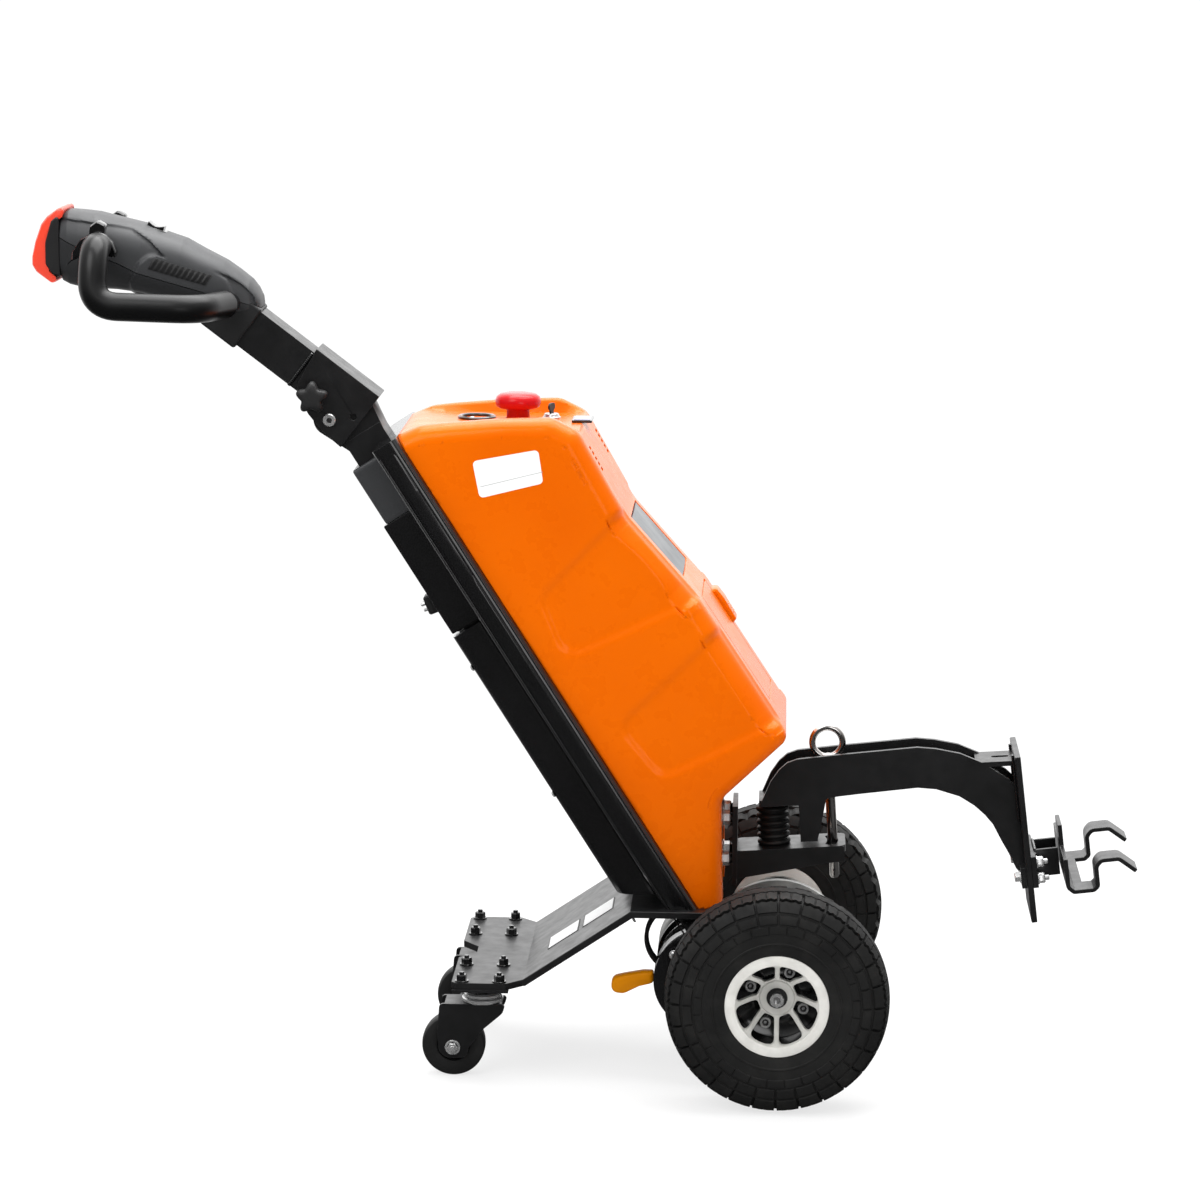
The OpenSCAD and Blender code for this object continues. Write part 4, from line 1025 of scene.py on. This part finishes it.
def head():
    head_shell("head_top_cover", "head_upper_shell", "head_upper", True)
    head_shell("head_bottom_cover", "head_lower_shell", "head_lower", False)

    insert = Part(FOLD)
    a, b, c, d = (Vector(p) for p in ((-209, 177.5), (-202, 190), (-136, 169.5), (-143.5, 158)))
    for side in (-1, 1):
        back, face = [], []
        for t in np.linspace(0, 1, 7):
            line = [a.lerp(d, u).lerp(b.lerp(c, u), t) for u in np.linspace(0, 1, 45)]
            ribs = [1.2 + 0.9 * (k % 4 in (1, 2)) * (0.1 < t < 0.9) for k in range(45)]
            for rows, lifts in ((back, [0] * 45), (face, ribs)):
                rows.append([(p.x, side * (head_side(p.x, p.y) + lift), p.y)
                             for p, lift in zip(line, lifts)])
        insert.slab(back, face)
    insert.done("head_ribbed_inserts", "matt_black", "tiller")

    bumper = Part(FOLD)
    shape = loop(BUMPER, 14)
    ends = [(36, 3.4), (35, 1.6), (32.5, 0.4), (29, 0)]
    bumper.tower([[(q.x + 1.2 * shrink * (q.x < -330), y, 202 + (q.y - 202) * (1 - shrink / 40))
                   for q in shape] for y, shrink in [(-y, k) for y, k in ends] + ends[::-1]])
    bumper.done("head_reverse_bumper", "bumper", "tiller", "head_bumper",
                bevel=1.0, sharp=40)

    backing = Part(FOLD)
    backing.prism(loop([(-316, 238, 4), (-325, 230, 6), (-332, 205, 10), (-332, 180, 6),
                        (-324, 168, 4), (-314, 166, 2)], 14), -40, 40)
    backing.done("head_bumper_carrier", "matt_black", "tiller", bevel=2.5, segments=3, sharp=32)

    for name, side in SIDES.items():
        grip = Part(FOLD)
        bar = ((-262, 86, 207), (-262, 118, 202), (-262, 134, 142), (-142, 124, 138),
               (-118, 52, 137))
        bar = even(bend_3d([(x, side * y, z) for x, y, z in bar], 30, 12), 1.6)
        radii = [14.0, 15.4, 16.1] + [16.4] * (len(bar) - 6) + [16.1, 15.4, 14.0]
        grip.tube(bar, radii, 28)
        grip.tube([(-262, side * 60, 208), (-262, side * 88, 206.6)], 10, 24, paint=1)
        foot = [(x, side * y, 137) for x, y in ((-121, 60), (-116.5, 46), (-115, 35))]
        grip.tube(bend_3d(foot, 5), 11.5, 24, paint=1)
        grip.lathe(mirrored([(11.6, -3), (14.6, -3), (15.6, -1.5)]), 32,
                   toward(-262, side * 85, 206.8, (0, side, -0.1)), 1)
        grip.done(name + "_hand_grip", "grip gloss_black", "tiller",
                  name + "_grip", sharp=40)

        lever = Part(FOLD)
        shape = loop(PADDLE, 18)
        lever.cushion(shape, side * 63, side * 81, ((0, 0.93), (2, 0.99), (5, 1)),
                      sum(shape, Vector((0, 0))) / len(shape))
        lever.done(name + "_throttle_paddle", "gloss_black", "tiller",
                   name + "_throttle", sharp=35)

    rocker = Part(FOLD @ shift(-208, 0, 218) @ spin(18))
    rocker.box((-14, -12, -4), (14, 12, 3.2))
    rocker.prism([(-10, 2), (-10, 8.6), (-5, 6.4), (0, 5.2), (5, 6.4), (10, 8.6), (10, 2)], -9, 9)
    rocker.done("head_rocker", "gloss_black", "tiller", "rocker_switch",
                bevel=1.0, sharp=32)


def fold_joint():
    knob = Part(FOLD)
    rows = []
    for height, radius, lobes in ((0, 8, 0), (0, 9.5, 0), (6, 9.5, 0), (7, 15, 0.12), (9, 18, 0.17),
                                  (12, 19.2, 0.19), (19, 19.2, 0.19), (22.5, 18, 0.17),
                                  (24.2, 15, 0.13), (24.8, 10, 0.05), (24.8, 6, 0)):
        radii = [radius * (1 - lobes * (1 - math.cos(math.tau * k / 16)) / 1.1) for k in range(80)]
        rows.append([(r * c, r * s, height) for r, (c, s) in zip(radii, circle(80))])
    knob.tower(rows, on_axis(-19, -31, 28, -1) @ Matrix.Rotation(0.3, 4, "Z"))
    knob.done("fold_star_knob", "matt_black", "tiller", "star_knob", sharp=50)

    bolt = Part(FOLD)
    bolt.tube([(0, -31, 0), (0, 31, 0)], 6.9, 32)
    for side in (-1, 1):
        end = on_axis(0, side * 31, 0, side)
        bolt.solid([(7.4, 0), (7.4, 3.2), (6.6, 4)], 32, end)
        bolt.solid([(3.4, 3), (3.4, 4.6), (2.8, 5)], 6, end, 1)
    bolt.done("fold_bolt_with_heads", "bright matt_black", "tiller", "fold_bolt")

    beads = Part(TILLER)
    for y in (-25.4, 25.4):
        beads.weld_bead((-63, y, 50), (-63, y, 2), 2.6)
    beads.done("tiller_weld_beads", "gloss_black", "tiller", sharp=50)


# ---- Tow arm, hitch and pin ----

HOOK = [(43.3, -94, 0), (43.3, -155, 8), (51, -162.4, 6), (76, -162.4, 7), (83, -157, 7),
        (83, -133, 6), (88, -128, 5), (107, -128, 5), (125, -144, 0)]


def tow_hook():
    """One bent sheet: a middle tab at the plate, two prongs at the tip, full width between."""
    path = even(bend(HOOK), 3.2)
    path = [p + n * 2.5 for p, n in zip(path, inward(path))]
    columns = [-95, -57, -27, 27, 57, 95]
    part = Part(PLATE)
    for p, q in zip(path, path[1:]):
        middle = (p + q) / 2
        for a, b in zip(columns, columns[1:]):
            beside_tab = middle.y > -121 and middle.x < 60 and abs(a + b) > 1
            between_prongs = middle.x > 64 and abs(a + b) < 100
            if not (beside_tab or between_prongs):
                part.grid([[(v.x, y, v.y) for y in (a, b)] for v in (p, q)])
    obj = part.done("hitch_fork_hook", "powder", "tow_arm", "fork_hook", sharp=50)
    thicken(obj, 0.005, 0)
    round_edges(obj, 0.0009)


def hitch_fittings():
    part = Part(PLATE)
    for y in (-46, 46):
        for z in (-131, -151):
            part.bolt(along_x(13.1, y, z, 1, 20), 11, 7, 7.5)
            part.stud(along_x(13.1, y, z, 1), 3.2, 8, 13)
    part.box((-6.6, -54, -160), (-0.2, 54, -135), paint=1)
    for y in (-46, 46):
        part.bolt(along_x(-6.6, y, -147, -1, 10), 11, 6, 7.5)
    part.done("hitch_clamp_and_nuts", "bright powder", "tow_arm", bevel=0.5,
              sharp=32)

    beads = Part(PLATE)
    for y in (-28.2, 28.2):
        beads.weld_bead((13.2, y, -152), (13.2, y, -124), 2.2)
    for z in (-121.4, -155):
        beads.weld_bead((13.4, -26, z), (13.4, 26, z), 2.0)
    for y in (-30.5, 30.5):
        beads.weld_bead((-1.2, y, -2), (-1.2, y, -84), 2.2)
    beads.done("hitch_weld_beads", "gloss_black", "tow_arm", sharp=50)

    rings = Part(HITCH)
    folds = [(r, 8.1 * k + z) for k in range(8) for r, z in (
        (15.6, -16.5), (18.6, -15.7), (19.8, -13.9), (19.8, -12.7), (18.6, -10.9), (15.6, -9.9))]
    rings.lathe([(11, -17), *folds, (11, 48)], 64)
    rings.done("swivel_bellows", "bellows", "tow_arm", "swivel_barrel", sharp=50)

    pin = Part(HITCH @ shift(70, 0, 0))
    pin.tube([(0, 0, -46), (0, 0, -42.5), (0, 0, 99)], [4.2, 6, 6], 32)
    pin.lathe([(0.1, 97), (7.6, 97), (9.4, 99.4), (9.6, 102), (8, 105.4), (0.1, 107)], 36)
    pin.grid([[((18 + 4 * c) * s, 4 * t, 120 + (18 + 4 * c) * k) for c, t in circle(18)]
              for k, s in circle(72)], wrap=True, close=True)
    pin.solid([(1.7, -6.05), (1.7, 6.05)], 16, shift(0, 0, -36) @ spin(90, "X"), 1)
    pin.done("hitch_pin_with_ring", "chrome matt_black", "hitch_pin", "hitch_pin",
             sharp=35)


def front_fittings():
    bolts = Part(FLOOR)
    face = (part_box("front_upright")[0].x - axle_x) / MM + 7
    for y in (-26, 26):
        for z in (DECK_Z + 40, DECK_Z + 90):
            bolts.bolt(along_x(face, y, z, 1, 15), 15, 8, 10.5)
    bolts.done("upright_bolts", "bright", "frame")

    nut = Part(HITCH)
    top = (HITCH.inverted() @ Vector((swing_at[0], 0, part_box("kingpin")[1].z))).z
    nut.solid([(9.9, -18), (9.9, top - 1.4), (8.6, top)], 40)
    nut.lathe([(9.8, 52.4), (12.6, 52.4), (12.8, 53), (12.6, 54), (9.8, 54)], 40)
    nut.done("kingpin_turned", "bright", "frame", "kingpin")


# ---- Transaxle ----

def drive_fittings():
    """Rings and bolts over the cast housings, and the brake release lever."""
    part = Part(FLOOR)
    motor, gears = on_axis(*MOTOR_AT, -1), shift(0, 45, 0) @ on_axis(*MOTOR_AT, 1)
    for y in (38, 50, 92, 101):
        part.lathe([(51.8, y), (52.8, y + 0.8), (52.8, y + 3), (51.8, y + 3.8)], 72, motor, 1)
    for face, radius, first, count, height in ((motor, 47, 45, 4, 149), (gears, 49, -30, 6, 0)):
        for k in range(count):
            spot = shift(*polar(radius, first + 360 / count * k), height)
            part.bolt(face @ spot, 8, 4, 5.5, 2, 2)
    for side in (-1, 1):
        tube = on_axis(0, 0, AXLE_Z, side)
        for y in (112, 122, 150):
            part.lathe([(22.6, y), (25.4, y), (26, y + 0.8), (26, y + 3.4), (25.4, y + 4.2),
                        (22.6, y + 4.2)], 56, tube)
    part.done("drive_rings_and_bolts", "cast gloss_black bright", "frame", sharp=35)

    low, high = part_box("brake_release_lever")
    lever = Part(place((low + high) / 2))
    x, y, z = (high - low) / 2 / MM
    outline = [(-x, 2 - z, 9), (-x, z - 8, 9), (16 - x, z - 4, 12), (x - 12, z, 4), (x, z, 3),
               (x, z - 13, 4), (x - 16, 10 - z, 14), (14 - x, -z, 10)]
    lever.cushion(loop(outline, 12), -y, y, ((0, 0.8), (1.4, 0.93), (4, 1)))
    lever.done("brake_release_handle", "lever", "frame", "brake_release_lever",
               sharp=45)


def motor_leads():
    """Two bowed leads from the deck's underside to the motor's brake end."""
    bow, diameter = 40, 5
    turns = np.radians(np.linspace(130, 230, 25))
    for name, y in (("outer_motor_lead", -98), ("inner_motor_lead", -84)):
        path = [FLOOR @ Vector((-115.2 + bow * math.cos(t), y, 167.2 + bow * math.sin(t)))
                for t in turns]
        lead = bpy.data.curves.new(name, "CURVE")
        lead.dimensions = "3D"
        lead.bevel_depth = diameter / 2 * MM
        lead.bevel_resolution = 6
        lead.use_fill_caps = True
        line = lead.splines.new("POLY")
        line.points.add(len(path) - 1)
        for point, at in zip(line.points, path):
            point.co = (*at, 1)
        lead.materials.append(M["cable"])
        obj = stand(name, lead)
        belong(obj, "frame", "motor_cables")


# ---- The scene ----

camera()
surroundings()
lamp("key", (-1.6, -2.6, 3.6), (0, 0, 0.45), 2.2, 62)
lamp("overhead", (0.3, 0.5, 3.4), (0.1, 0, 0.4), 3.0, 150)
lamp("front", (1.4, -4.6, 1.3), (0.1, 0, 0.4), 1.6, 20)
floor()
bpy.context.scene.view_settings.view_transform = "Standard"

dress("base_plate", "ramp", 0.8)
dress("caster_plates mast front_upright drawbar tow_arm hitch_plate hook_bracket fold_bracket "
      "tiller_tube", "powder", 1.2)
dress("mast_sleeve", "sleeve", 5)
dress("rear_tray mast_cover", "gloss_black", 2.5)
dress("back_cover", "gloss_black", 5)
dress("tiller_collar", "matt_black", 4)
dress("battery", "matt_black", 3)
dress("transaxle_housing axle_tubes", "cast", 1.5)
dress("motor brake_unit", "gloss_black", 2)

hood()
hood_fittings()
top_controls()
mast_fittings()
fold_joint()
head()
front_fittings()
hitch_fittings()
tow_hook()
base_fittings()
casters()
drive_fittings()
motor_leads()
drive_wheels()
